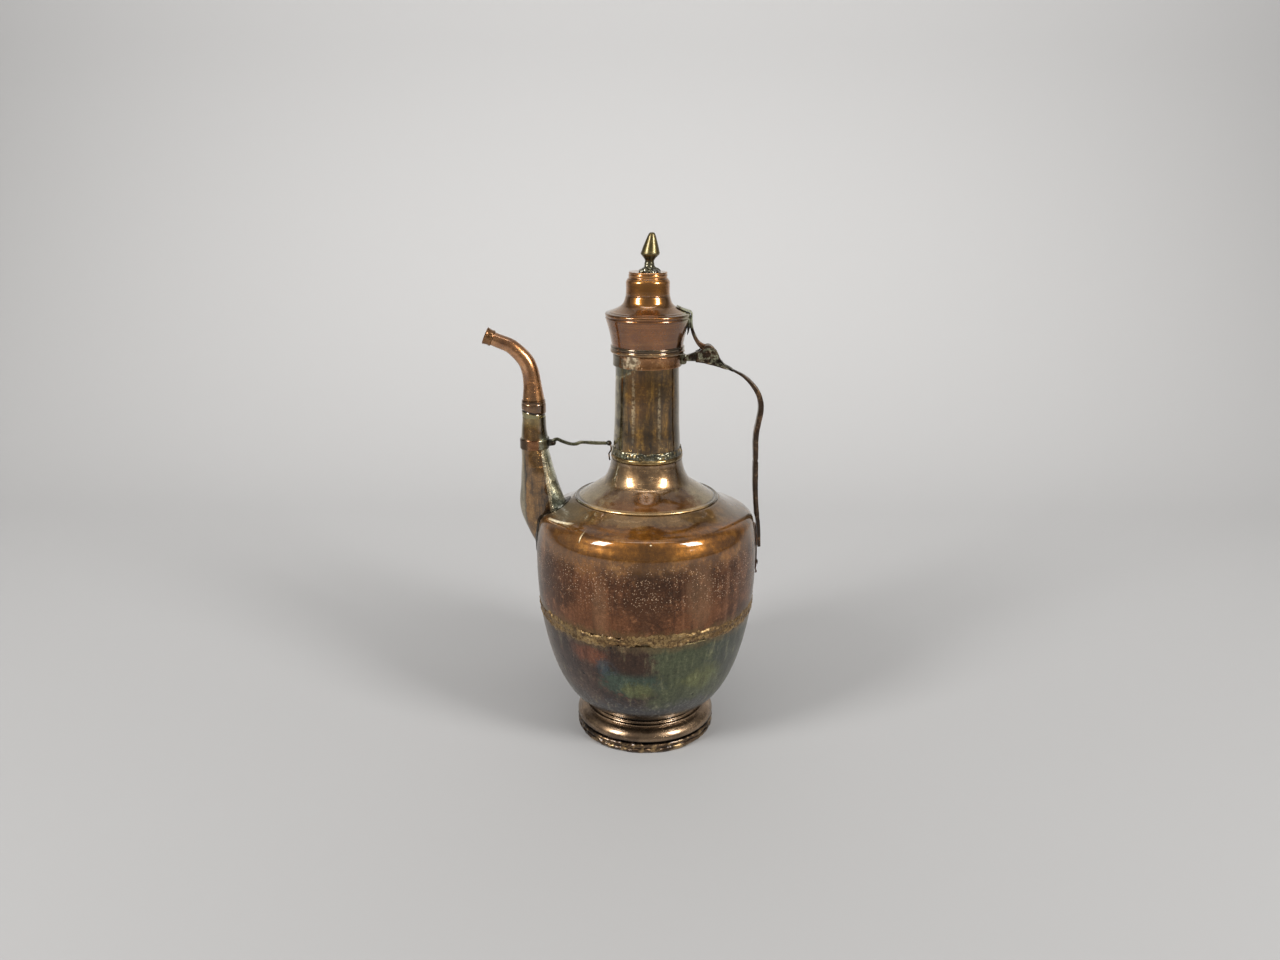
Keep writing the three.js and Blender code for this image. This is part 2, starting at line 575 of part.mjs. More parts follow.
// Handle: the head is a flat forging with a tongue, two cheeks and a slot for the lid's eye
// Its outline is walked round the pin, in knuckle radii and in head lengths.
function handleHead() {
  const at = (x, up) => [HINGE_X + x, HINGE_Z + up * KNUCKLE_R];
  const tongueEnd = COLLAR_R + FIT - HINGE_X;
  const shape = new THREE.Shape();
  shape.moveTo(...at(tongueEnd, -1.11));
  shape.quadraticCurveTo(...at(-HEAD_L * 0.45, -0.89), ...at(HEAD_L * 0.03, -1.37));
  shape.quadraticCurveTo(...at(HEAD_L * 0.45, -1.68), ...at(HEAD_L, -2.29));
  shape.lineTo(...at(HEAD_L, -2.03));
  shape.quadraticCurveTo(...at(HEAD_L * 0.6, -1.52), ...at(HEAD_L * 0.47, -0.56));
  shape.quadraticCurveTo(...at(KNUCKLE_R * 1.32, 0.16), ...at(KNUCKLE_R * 0.9, 0.41));
  shape.absarc(...at(0, 0), KNUCKLE_R, 0.42, 2.6, false);
  shape.quadraticCurveTo(...at(-HEAD_L / 2, -0.08), ...at(tongueEnd, -0.43));
  const slotHalf = EYE_W / 2 + FIT;
  const reach = KNUCKLE_R + 2 * FIT;
  const [low, high] = [HINGE_Z - HEAD_L, HINGE_Z + HEAD_L];
  const tongueTop = HINGE_X - KNUCKLE_R * 1.5;
  const left = block([COLLAR_R - 1, -HEAD_W, low], [tongueTop, -TONGUE_W / 2, high]);
  const right = block([COLLAR_R - 1, TONGUE_W / 2, low], [tongueTop, HEAD_W, high]);
  const slot = rodY(reach, HINGE_X, HINGE_Z, -slotHalf, slotHalf, 24)
    .add(block([HINGE_X - reach, -slotHalf, HINGE_Z - 1], [HINGE_X + HEAD_L, slotHalf, high]));
  const bore = rodY(PIN_R + FIT, HINGE_X, HINGE_Z, -HEAD_W, HEAD_W);
  const hole = rodY(COLLAR_RIVET_R + FIT, collarRivetX(), HINGE_Z - COLLAR_H / 2, -HEAD_W, HEAD_W);
  return plate(shape, HEAD_W).subtract(left).subtract(right).subtract(slot).subtract(bore).subtract(hole);
}

// The strap swings out from the head, bows in above the middle and comes to lie on the tail plate.
function handleCurve() {
  const low = BODY_R + TAIL_T + 2 * FIT + BAR_T / 2 - BAR_BED;
  const bend = low - BAR_BOW_IN;
  const fallTop = HINGE_Z - KNUCKLE_R * 1.75;
  const at = (out, down) => [
    THREE.MathUtils.lerp(HINGE_X, bend, out),
    THREE.MathUtils.lerp(fallTop, BELLY_Z + BAR_END_RISE, down),
  ];
  return planeCurve([
    [HINGE_X + HEAD_L * 0.7, fallTop + BAR_HEAD_T * 0.8],
    [HINGE_X + HEAD_L, HINGE_Z - KNUCKLE_R * 2.16],
    at(0.665, 0.051),
    at(0.839, 0.1),
    at(0.954, 0.155),
    at(1, 0.22),
    at(0.961, 0.3),
    at(0.927, 0.372),
    at(0.936, 0.49),
    at(0.954, 0.66),
    at(1, 0.81),
    [low - BAR_BOW_IN / 4, at(0, 0.93)[1]],
    [low, at(0, 1)[1]],
  ]);
}

function handle() {
  const curve = handleCurve();
  const length = curve.getLength();
  const section = new THREE.Shape().absellipse(0, 0, 0.5, 0.5, 0, 2 * Math.PI, false, 0);
  const run = { depth: length, steps: 26, bevelEnabled: false, curveSegments: 5 };
  const geometry = new THREE.ExtrudeGeometry(section, run);
  const grow = (share) => THREE.MathUtils.smoothstep(share, 0.02, 0.22);
  const thick = (share) => THREE.MathUtils.lerp(BAR_HEAD_T, BAR_T, grow(share));
  const wide = (share) => THREE.MathUtils.lerp(BAR_HEAD_W, BAR_W, grow(share));
  const bar = solid(bent(geometry, curve, thick, wide));
  return bar.subtract(bodyGrown(TAIL_T + 2 * FIT)).add(handleHead());
}

// A leaf-shaped plate that lies on the wall under the end of the strap
function handleTailPlate() {
  const tip = BELLY_Z + BAR_END_RISE - TAIL_DROP;
  const shape = new THREE.Shape().moveTo(0, tip);
  shape.quadraticCurveTo(TAIL_W * 0.3, tip + 1, TAIL_W * 0.32, tip + TAIL_DROP * 0.4);
  shape.lineTo(TAIL_W / 2, tip + TAIL_DROP * 0.8).lineTo(TAIL_W / 2, tip + TAIL_H);
  shape.lineTo(-TAIL_W / 2, tip + TAIL_H).lineTo(-TAIL_W / 2, tip + TAIL_DROP * 0.8);
  shape.lineTo(-TAIL_W * 0.32, tip + TAIL_DROP * 0.4);
  shape.quadraticCurveTo(-TAIL_W * 0.3, tip + 1, 0, tip);
  const run = { depth: BODY_R, bevelEnabled: false, curveSegments: 4 };
  const geometry = new THREE.ExtrudeGeometry(shape, run);
  geometry.applyMatrix4(new THREE.Matrix4().makeBasis(
    new THREE.Vector3(0, 1, 0), new THREE.Vector3(0, 0, 1), new THREE.Vector3(1, 0, 0)));
  const leaf = solid(geometry.translate(BODY_R / 2, 0, 0));
  const hole = rodX(TAIL_RIVET_R + FIT, tailRivetZ(), BODY_R - 10, BODY_R + 10);
  return leaf.intersect(bodyGrown(FIT + TAIL_T)).subtract(bodyGrown(FIT)).subtract(hole);
}

function tailRivetZ() {
  return BELLY_Z + BAR_END_RISE - TAIL_DROP * 0.6;
}

function handleTailRivet() {
  const outside = BODY_R + 2 * FIT + TAIL_T;
  const inside = BODY_R - SHEET - 3 * FIT;
  const shank = rodX(TAIL_RIVET_R, tailRivetZ(), inside - FIT, outside + FIT);
  const head = rodX(TAIL_RIVET_HEAD_R, tailRivetZ(), outside, outside + TAIL_RIVET_HEAD_T);
  const foot = rodX(TAIL_RIVET_HEAD_R, tailRivetZ(), inside - TAIL_RIVET_HEAD_T, inside);
  return shank.add(head).add(foot);
}

// Spout
// The lower half from its bell up to the sleeve. Each station gives the share of the drop below
// the sleeve, of the bell's half width and of the bell's lean towards the body.
function spoutStations() {
  const station = (drop, half, lean) =>
    new THREE.Vector3(half * SPOUT_BELL_R, lean * SPOUT_BELL_IN, SLEEVE_Z - drop * SPOUT_DROP);
  const underBand = (z) => new THREE.Vector3(BAND_BORE_R - FIT, 0, z);
  return [
    station(1, 1, 1),
    station(0.858, 0.929, 0.615),
    station(0.742, 0.804, 0.35),
    station(0.629, 0.707, 0.17),
    station(0.532, 0.629, 0.107),
    station(0.468, 0.568, 0.085),
    station(0.355, 0.475, 0.048),
    station(0.274, 0.421, 0.025),
    underBand(BAND_Z),
    underBand(BAND_Z + BAND_H),
    station(0.089, 0.346, -0.005),
    new THREE.Vector3(SPOUT_NECK_R, 0, SLEEVE_Z),
  ];
}

// The outline of the lower half, its axis and width at a level, and how flat it is there
function spoutShape(grow) {
  const steps = new THREE.CatmullRomCurve3(spoutStations()).getPoints(16);
  const outer = steps.map((step) => new THREE.Vector2(step.x + grow, step.z));
  const at = (z) => {
    const i = steps.findIndex((step) => step.z >= z - 1e-6);
    if (i <= 0) return steps.at(i);
    const share = (z - steps[i - 1].z) / (steps[i].z - steps[i - 1].z);
    return steps[i - 1].clone().lerp(steps[i], share);
  };
  const flatten = (z, half) => {
    const share = THREE.MathUtils.smoothstep(z, CORNER_Z + SPOUT_RISE / 4, BAND_Z);
    const root = SPOUT_ROOT_W / 2 + grow;
    return share === 1 ? 1 : THREE.MathUtils.lerp(Math.min(root / half, 1), 1, share);
  };
  return { outer, at, flatten };
}

// Sets a turned geometry on the axis of the lower spout, level by level, and flattens its root.
function onSpout(points, grow) {
  const { at, flatten } = spoutShape(grow);
  const geometry = new THREE.LatheGeometry(points, PIPE_FACETS).rotateX(Math.PI / 2);
  const place = geometry.attributes.position;
  for (let i = 0; i < place.count; i++) {
    const step = at(Math.min(place.getZ(i), SLEEVE_Z));
    const squeeze = flatten(place.getZ(i), step.x + grow);
    place.setX(i, place.getX(i) + SPOUT_X + step.y);
    place.setY(i, place.getY(i) * squeeze);
  }
  return solid(geometry);
}

function spoutFilled(grow) {
  const { outer } = spoutShape(grow);
  const bottom = new THREE.Vector2(0, outer[0].y);
  return onSpout([bottom, ...outer, new THREE.Vector2(0, outer.at(-1).y)], grow);
}

function spoutLower() {
  const { outer } = spoutShape(0);
  const spigotR = SLEEVE_R - SLEEVE_T - FIT;
  const spigotTop = SLEEVE_Z + SLEEVE_H / 2 - SLEEVE_GAP / 2;
  const bore = outer.map((point) => new THREE.Vector2(Math.max(point.x, spigotR) - SPOUT_WALL, point.y));
  const profile = [
    ...outer,
    new THREE.Vector2(spigotR, SLEEVE_Z),
    new THREE.Vector2(spigotR, spigotTop),
    new THREE.Vector2(spigotR - SPOUT_WALL, spigotTop),
    ...bore.reverse(),
    outer[0],
  ];
  return onSpout(profile, 0).subtract(bodyGrown(FIT));
}

function spoutFlange() {
  const ring = bodyGrown(FIT + FLANGE_T).subtract(bodyGrown(FIT));
  return ring.intersect(spoutFilled(FLANGE_W)).subtract(spoutFilled(FIT));
}

function spoutSleeve() {
  const inner = SLEEVE_R - SLEEVE_T;
  const edge = SLEEVE_R - SLEEVE_BULGE;
  const path = new THREE.Path().moveTo(inner, SLEEVE_Z).lineTo(edge, SLEEVE_Z);
  path.quadraticCurveTo(SLEEVE_R + SLEEVE_BULGE, SLEEVE_Z + SLEEVE_H / 2, edge, SLEEVE_Z + SLEEVE_H);
  const points = path.lineTo(inner, SLEEVE_Z + SLEEVE_H).lineTo(inner, SLEEVE_Z).getPoints(2);
  const geometry = new THREE.LatheGeometry(points, PIPE_FACETS).rotateX(Math.PI / 2);
  return solid(geometry.translate(SPOUT_X, 0, 0));
}

// The upper half rises from inside the sleeve and swings out to the mouth, in shares of its reach
// and of its height.
function spoutCurve() {
  const start = SLEEVE_Z + SLEEVE_H / 2 + SLEEVE_GAP / 2;
  const at = (out, up) => [SPOUT_X - out * SPOUT_REACH, SLEEVE_Z + SLEEVE_H + up * SPOUT_UPPER_H];
  return planeCurve([[SPOUT_X, start], at(0, 0), at(0.019, 0.273), at(0.063, 0.474), at(0.168, 0.639),
    at(0.437, 0.828), at(0.703, 0.912), at(1, 1)]);
}

function spoutUpper() {
  const curve = spoutCurve();
  const length = curve.getLength();
  const root = SLEEVE_R - SLEEVE_T - FIT;
  const seat = SLEEVE_H / 2 - SLEEVE_GAP / 2 + FIT;
  const end = length - TIP_RING_L - FIT;
  const taper = [[0, 1], [0.09, 0.78], [0.2, 0.53], [0.33, 0.39], [0.47, 0.31], [0.75, 0.14], [1, 0.055]];
  const outer = taper.map(([along, wide]) => new THREE.Vector2(
    THREE.MathUtils.lerp(SPOUT_TIP_R, SPOUT_SEAT_R, wide), THREE.MathUtils.lerp(seat, end, along)));
  const socket = [new THREE.Vector2(root, 0), new THREE.Vector2(root, seat - FIT / 3)];
  const spigot = [new THREE.Vector2(SPOUT_TIP_R, end + FIT / 3), new THREE.Vector2(SPOUT_TIP_R, length)];
  const fine = new THREE.SplineCurve(outer).getPoints(13);
  const profile = sheetProfile([...socket, ...fine, ...spigot], SPOUT_WALL);
  return solid(bent(new THREE.LatheGeometry(profile, PIPE_FACETS).rotateX(Math.PI / 2), curve));
}

function spoutTipRing() {
  const curve = spoutCurve();
  const length = curve.getLength();
  const from = length - TIP_RING_L;
  const bore = SPOUT_TIP_R + FIT;
  const wide = bore + TIP_RING_T;
  const points = closed([bore, from], [wide, from], [wide, from + TIP_RING_L * 0.24],
    [wide - TIP_RING_T / 4, from + TIP_RING_L * 0.38], [wide + TIP_FLARE, length], [bore, length]);
  return solid(bent(new THREE.LatheGeometry(points, PIPE_FACETS).rotateX(Math.PI / 2), curve));
}

// Band round the spout, with two ears that hold the eye of the stay
function bandRivetX() {
  return SPOUT_X + BAND_BORE_R + BAND_T + BAND_EAR_L * 0.45;
}

function spoutBand() {
  const outer = BAND_BORE_R + BAND_T;
  const top = BAND_Z + BAND_H;
  const points = closed([BAND_BORE_R, BAND_Z], [outer, BAND_Z], [outer, top], [BAND_BORE_R, top]);
  const sides = 2 * RIVET_FACETS;
  const band = solid(new THREE.LatheGeometry(points, sides).rotateX(Math.PI / 2).translate(SPOUT_X, 0, 0));
  const root = SPOUT_X + BAND_BORE_R - BAND_T;
  const end = SPOUT_X + outer + BAND_EAR_L;
  const round = BAND_H / 4;
  const ear = new THREE.Shape().moveTo(root, BAND_Z + BAND_T / 2).lineTo(end - round, BAND_Z + BAND_T);
  ear.quadraticCurveTo(end, BAND_Z + BAND_T, end, BAND_Z + BAND_H / 2);
  ear.quadraticCurveTo(end, top - BAND_T, end - round, top - BAND_T);
  ear.lineTo(root, top - BAND_T / 2);
  const side = STAY_EYE_T / 2 + FIT + BAND_EAR_T / 2;
  const ears = plate(ear, BAND_EAR_T, -side).add(plate(ear, BAND_EAR_T, side));
  const bore = solid(new THREE.CylinderGeometry(BAND_BORE_R, BAND_BORE_R, 3 * BAND_H, sides)
    .rotateX(Math.PI / 2).translate(SPOUT_X, 0, BAND_Z));
  const hole = rodY(BAND_RIVET_R + FIT, bandRivetX(), BAND_Z + BAND_H / 2, -BAND_BORE_R, BAND_BORE_R);
  return band.add(ears.subtract(bore)).subtract(hole);
}

// The rod runs in uneven waves from the eye in the band to the knob at the neck.
function stayRod() {
  const eye = new THREE.Vector2(bandRivetX(), BAND_Z + BAND_H / 2);
  const neckR = SOLDER_R + FIT;
  const knob = new THREE.Vector2(-neckR - STAY_KNOB_R * 0.75, SOLDER_TOP_Z + STAY_LIFT);
  const waves = [[0.05, 0.6], [0.14, 2], [0.29, -0.2], [0.41, -0.9], [0.53, 0.2], [0.78, -0.2], [1, 0]];
  const curve = planeCurve(waves.map(([along, up]) => {
    const place = eye.clone().lerp(knob, along);
    return [place.x, place.y + up * STAY_R];
  }));
  const section = new THREE.Shape().absellipse(0, 0, STAY_R, STAY_R, 0, 2 * Math.PI, false, 0);
  const rod = solid(new THREE.ExtrudeGeometry(section, { steps: 20, extrudePath: curve, curveSegments: 4 }));
  const plateEye = rodY(STAY_EYE_R, eye.x, eye.y, -STAY_EYE_T / 2, STAY_EYE_T / 2, 16);
  const hole = rodY(BAND_RIVET_R + FIT, eye.x, eye.y, -STAY_EYE_R, STAY_EYE_R);
  const ball = solid(new THREE.SphereGeometry(STAY_KNOB_R, 12, 8).translate(knob.x, 0, knob.y));
  const neck = turned(filled(neckR, CONE_TOP_Z, MOUTH_Z), NECK_FACETS);
  return rod.add(plateEye).add(ball).subtract(hole).subtract(neck);
}

// A thin wire, hooked over the stay's knob and bent down round the ring of the neck
function stayHook() {
  const solderR = SOLDER_R + FIT + HOOK_R;
  const ringR = NECK_R + FIT + RING_T + RING_BULGE + 2 * FIT + HOOK_R;
  const knobZ = SOLDER_TOP_Z + STAY_LIFT;
  const around = (r, degrees, z) => {
    const angle = THREE.MathUtils.degToRad(180 + degrees);
    return new THREE.Vector3(r * Math.cos(angle), r * Math.sin(angle), z);
  };
  const curve = new THREE.CatmullRomCurve3([
    around(solderR + HOOK_R, 6.5, knobZ + HOOK_R * 1.7),
    around(solderR, 11, knobZ - HOOK_R),
    around(solderR, 13, THREE.MathUtils.lerp(SOLDER_TOP_Z, RING_TOP_Z, 0.35)),
    around(solderR + HOOK_R, 10, THREE.MathUtils.lerp(SOLDER_TOP_Z, RING_TOP_Z, 0.8)),
    around(ringR, 8, RING_TOP_Z - HOOK_R),
    around(ringR, 11, CONE_TOP_Z + HOOK_R),
    around(ringR, 15, CONE_TOP_Z - 1.5 * HOOK_R),
  ]);
  const section = new THREE.Shape().absellipse(0, 0, HOOK_R, HOOK_R, 0, 2 * Math.PI, false, 0);
  return solid(new THREE.ExtrudeGeometry(section, { steps: 18, extrudePath: curve, curveSegments: 3 }));
}

// Upper wall, pierced for the spout and for the rivet of the tail plate
function upperBody() {
  const shell = turned(sheetProfile(upperOutline(SEAM_Z + SEAM_H), SHEET));
  const hole = rodX(TAIL_RIVET_R + FIT, tailRivetZ(), BODY_R - 10, BODY_R + 10);
  return shell.subtract(spoutFilled(-SPOUT_WALL)).subtract(hole);
}

// Materials
const copper = { color: 0x8a5a3c, roughness: 0.35, metalness: 1 };
const goldCopper = { color: 0x9a7040, roughness: 0.3, metalness: 1 };
const braze = { color: 0xb08a3a, roughness: 0.45, metalness: 1 };
const oliveBrass = { color: 0x7c6c3c, roughness: 0.4, metalness: 1 };
const solderGrey = { color: 0x8b9080, roughness: 0.6, metalness: 1 };
const darkBronze = { color: 0x4a3a28, roughness: 0.5, metalness: 1 };
const brightBrass = { color: 0xc9a24a, roughness: 0.25, metalness: 1 };

// Assembly
const jug = new THREE.Group();

function piece(name, shape, finish) {
  const mesh = new THREE.Mesh(surface(shape), new THREE.MeshStandardMaterial(finish));
  mesh.name = name;
  jug.add(mesh);
}

piece('foot_rim', footRim(), darkBronze);
piece('foot_ring', footRing(), goldCopper);
piece('lower_bowl', lowerBowl(), copper);
piece('braze_seam', brazeSeam(), braze);
piece('upper_body', upperBody(), goldCopper);
piece('neck_cone', neckCone(), goldCopper);
piece('neck_base_ring', ringOnNeck(CONE_TOP_Z, RING_H, RING_T, RING_BULGE), oliveBrass);
piece('neck_solder', ringOnNeck(RING_TOP_Z, SOLDER_H, SOLDER_T, SOLDER_BULGE), solderGrey);
piece('neck_tube', neckTube(), oliveBrass);
piece('neck_collar', neckCollar(), copper);
piece('collar_rivet', rivetY(COLLAR_RIVET_R, COLLAR_RIVET_HEAD_R, COLLAR_RIVET_HEAD_T, collarRivetX(),
  HINGE_Z - COLLAR_H / 2, TONGUE_W / 2 + FIT + EAR_T), darkBronze);
piece('spout_flange', spoutFlange(), darkBronze);
piece('spout_lower', spoutLower(), oliveBrass);
piece('spout_sleeve', spoutSleeve(), copper);
piece('spout_upper', spoutUpper(), copper);
piece('spout_tip_ring', spoutTipRing(), goldCopper);
piece('spout_band', spoutBand(), copper);
piece('spout_band_rivet', rivetY(BAND_RIVET_R, BAND_RIVET_HEAD_R, BAND_RIVET_HEAD_T, bandRivetX(),
  BAND_Z + BAND_H / 2, STAY_EYE_T / 2 + FIT + BAND_EAR_T), darkBronze);
piece('stay_rod', stayRod(), darkBronze);
piece('stay_hook', stayHook(), darkBronze);
piece('handle', handle(), darkBronze);
piece('handle_tail_plate', handleTailPlate(), copper);
piece('handle_tail_rivet', handleTailRivet(), darkBronze);
piece('hinge_pin', rivetY(PIN_R, PIN_HEAD_R, PIN_HEAD_T, HINGE_X, HINGE_Z, HEAD_W / 2), darkBronze);
piece('lid_rim', lidRim(), copper);
piece('lid_shell', lidShell(), copper);
piece('lid_strap', lidStrap(), darkBronze);
piece('finial_base', finialBase(), solderGrey);
piece('finial', finial(), brightBrass);
piece('finial_washer', finialWasher(), oliveBrass);

// The jug is set so that the origin is under the middle of its length.
const reach = new THREE.Box3().setFromObject(jug, true);
jug.position.x = -(reach.min.x + reach.max.x) / 2;

export default jug;
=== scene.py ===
import math

import bpy
import numpy as np
from mathutils import Matrix, Vector


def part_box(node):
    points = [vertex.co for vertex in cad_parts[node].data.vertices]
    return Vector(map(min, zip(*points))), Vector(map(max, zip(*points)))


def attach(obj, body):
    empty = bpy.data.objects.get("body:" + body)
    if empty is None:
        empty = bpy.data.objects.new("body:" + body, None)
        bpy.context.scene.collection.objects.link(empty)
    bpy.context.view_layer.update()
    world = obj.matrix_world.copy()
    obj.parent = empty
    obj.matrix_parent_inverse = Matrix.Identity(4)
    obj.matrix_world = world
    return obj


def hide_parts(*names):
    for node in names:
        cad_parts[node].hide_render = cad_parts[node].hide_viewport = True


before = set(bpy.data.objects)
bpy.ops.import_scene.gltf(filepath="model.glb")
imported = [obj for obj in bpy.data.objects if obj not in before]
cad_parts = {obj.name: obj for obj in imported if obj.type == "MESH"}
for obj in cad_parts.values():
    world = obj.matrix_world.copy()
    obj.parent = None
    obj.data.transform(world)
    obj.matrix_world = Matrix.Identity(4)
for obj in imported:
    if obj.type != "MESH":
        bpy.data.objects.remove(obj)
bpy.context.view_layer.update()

# Studio: the jug stands on a plain pale paper sweep that curves up behind it. Two bright soft
# boxes stand in front on the left and the right, and the side of the camera is dim.
AXIS_X = (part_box("upper_body")[0].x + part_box("upper_body")[1].x) / 2  # the jug's upright axis
CAMERA_AT = Vector((AXIS_X - 0.0054, -0.7508, 0.456))
CAMERA_DIP = math.radians(17.5)
CAMERA_ROLL = math.radians(0.26)
FOCAL_PX = 962
IMAGE_W_PX = 1280
SENSOR_MM = 36
SWEEP_HALF_W = 7
SWEEP_FRONT = -5
SWEEP_BEND_Y = 0.55
SWEEP_BEND_R = 0.7
SWEEP_TOP = 4
BOX_TURN = math.radians(53)
BOX_RISE = math.radians(31)
BOX_FAR = 1.7
BOX_SIZE = (0.44, 0.76)
BOX_WATTS = 21
AIM = Vector((AXIS_X, 0, 0.22))
ROOM_LIGHT = 0.26


def skin(points, loop=False, capped=False, around=True):
    """Vertices and faces of a grid of points: rows run along the surface and columns go round it.
    Neighbours are joined by quads, a row whose points all meet becomes one pole, `loop` joins the
    last row to the first, and `capped` closes the two end rows with a flat face each."""
    rows, columns = points.shape[:2]
    kept = np.ones((rows, columns), bool)
    for row in (0, -1):
        if np.ptp(points[row], axis=0).max() < 1e-6:
            kept[row, 1:] = False
    number = np.cumsum(kept).reshape(rows, columns) - 1
    low, high = (number, np.roll(number, -1, 0)) if loop else (number[:-1], number[1:])
    corners = np.stack([low, np.roll(low, -1, 1), np.roll(high, -1, 1), high], -1)
    corners = (corners if around else corners[:, :-1]).reshape(-1, 4)
    start, end = corners[:, 0] == corners[:, 1], corners[:, 2] == corners[:, 3]
    faces = corners[~start & ~end].tolist()
    faces += corners[start][:, [0, 2, 3]].tolist() + corners[end][:, :3].tolist()
    if capped:
        faces += [number[0, ::-1].tolist(), number[-1].tolist()]
    return points[kept], faces


def meshed(name, skins, material):
    """One object of one or more skins, with smooth faces and creased sharp edges."""
    vertices, faces, count = [], [], 0
    for points, corners in skins:
        vertices.append(points)
        faces += [[k + count for k in face] for face in corners]
        count += len(points)
    mesh = bpy.data.meshes.new(name)
    mesh.from_pydata(np.concatenate(vertices), [], faces)
    mesh.shade_smooth()
    mesh.set_sharp_from_angle(angle=math.radians(42))
    mesh.materials.append(material)
    made = bpy.data.objects.new(name, mesh)
    bpy.context.scene.collection.objects.link(made)
    return made


class Wire:
    """A socket of a material. + - * / and ** on it add Math nodes."""

    def __init__(self, finish, socket):
        self.finish, self.socket = finish, socket

    def out(self, key):
        return Wire(self.finish, self.socket.node.outputs[key])

    def math(self, operation, first, second=0):
        return self.finish.node("Math", {"operation": operation}, {0: first, 1: second})

    def rise(self, low, high):
        """0 below low and 1 above high, with a smooth step between. It falls where low is the larger."""
        return self.finish.node("MapRange", {"interpolation_type": "SMOOTHSTEP"}, {0: self, 1: low, 2: high})

    def __add__(self, other):
        return self.math("ADD", self, other)

    def __mul__(self, other):
        return self.math("MULTIPLY", self, other)

    def __sub__(self, other):
        return self.math("SUBTRACT", self, other)

    def __rsub__(self, other):
        return self.math("SUBTRACT", other, self)

    def __truediv__(self, other):
        return self.math("DIVIDE", self, other)

    def __pow__(self, other):
        return self.math("POWER", self, other)

    def __abs__(self):
        return self.math("ABSOLUTE", self)

    __radd__ = __add__
    __rmul__ = __mul__


class Finish:
    """A material whose nodes are added one by one: a node's settings first, then its sockets."""

    def __init__(self, name):
        self.material = bpy.data.materials.new(name)
        self.material.use_nodes = True
        self.tree = self.material.node_tree
        self.tree.nodes.clear()

    def node(self, kind, settings=None, sockets=None, out=0):
        made = self.tree.nodes.new("ShaderNode" + kind)
        for key, value in (settings or {}).items():
            setattr(made, key, value)
        for key, value in (sockets or {}).items():
            if isinstance(value, Wire):
                self.tree.links.new(value.socket, made.inputs[key])
            else:
                made.inputs[key].default_value = value
        return Wire(self, made.outputs[out]) if len(made.outputs) else None

    def mix(self, share, first, second, blend="MIX"):
        """The first colour where the share is 0, and the second where it is 1. A colour is three
        numbers in thousandths."""
        first, second = ((*(part / 1000 for part in colour), 1) if isinstance(colour, tuple) else colour
                         for colour in (first, second))
        sockets = {0: share, 6: first, 7: second}
        return self.node("Mix", {"data_type": "RGBA", "blend_type": blend}, sockets, out=2)


paper = Finish("paper")
paper.node("OutputMaterial", {}, {"Surface": paper.node("BsdfPrincipled", {}, {
    "Base Color": (0.46, 0.46, 0.465, 1), "Roughness": 0.9, "Specular IOR Level": 0.2})})
bend = np.linspace(0, np.pi / 2, 24)
side_line = np.concatenate([
    [(SWEEP_FRONT, 0)],
    np.stack([SWEEP_BEND_Y + SWEEP_BEND_R * np.sin(bend), SWEEP_BEND_R * (1 - np.cos(bend))], 1),
    [(SWEEP_BEND_Y + SWEEP_BEND_R, SWEEP_TOP)]])
sweep_grid = np.stack([np.stack([np.full(len(side_line), x), *side_line.T], -1)
                       for x in (SWEEP_HALF_W, -SWEEP_HALF_W)], 1)
meshed("paper_sweep", [skin(sweep_grid, around=False)], paper.material)


def softbox(name, aim, turn, rise, far, size, watts, spread=math.pi):
    """A rectangle of light that looks at a place. It stands at a turn from the camera's side, at
    an angle of rise above the place and at a distance."""
    lamp = bpy.data.lights.new(name, "AREA")
    lamp.shape = "RECTANGLE"
    lamp.size, lamp.size_y = size
    lamp.energy = watts
    lamp.color = (1, 0.985, 0.96)
    lamp.spread = spread
    stand = bpy.data.objects.new(name, lamp)
    way = Vector((math.sin(turn) * math.cos(rise), -math.cos(turn) * math.cos(rise), math.sin(rise)))
    stand.location = aim + way * far
    stand.rotation_euler = way.to_track_quat("Z", "Y").to_euler()
    bpy.context.scene.collection.objects.link(stand)


softbox("softbox_left", AIM, -BOX_TURN, BOX_RISE, BOX_FAR, BOX_SIZE, BOX_WATTS)
softbox("softbox_right", AIM, BOX_TURN, BOX_RISE, BOX_FAR, BOX_SIZE, BOX_WATTS)
softbox("overhead", AIM, math.pi, math.radians(72), 2.4, (2.2, 1.6), 3.5)
softbox("wall_wash", Vector((0, SWEEP_BEND_Y + SWEEP_BEND_R, 0.5)), 0, math.radians(50), 2.4, (2.6, 0.6), 11,
        math.radians(75))

world = bpy.data.worlds.new("room")
world.use_nodes = True
world.node_tree.nodes["Background"].inputs["Color"].default_value = (1, 0.97, 0.92, 1)
world.node_tree.nodes["Background"].inputs["Strength"].default_value = ROOM_LIGHT
bpy.context.scene.world = world
bpy.context.scene.view_settings.view_transform = "Standard"

lens = bpy.data.cameras.new("camera")
lens.sensor_width = SENSOR_MM
lens.lens = SENSOR_MM * FOCAL_PX / IMAGE_W_PX
camera = bpy.data.objects.new("camera", lens)
look = Matrix.Rotation(math.pi / 2 - CAMERA_DIP, 3, "X") @ Matrix.Rotation(CAMERA_ROLL, 3, "Z")
camera.location = CAMERA_AT
camera.rotation_euler = look.to_euler()
bpy.context.scene.collection.objects.link(camera)
bpy.context.scene.camera = camera

# Foot rim: a thick roll of sheet at the bottom of the foot, folded over and beaten by hand, so
# its crests are rough and rubbed bright. A crease runs round it, darkened with painted shade.
RIM_W = 4.6
RIM_LUMP = 0.42
TAU = 2 * math.pi
MM = 0.001


def extent(node, axis=2, end=1):
    """Where a CAD node's box ends along an axis, in millimetres from the jug's axis."""
    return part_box(node)[end][axis] / MM - (0 if axis else AXIS_X / MM)


rim_r, rim_h = extent("foot_rim", 1), extent("foot_rim")


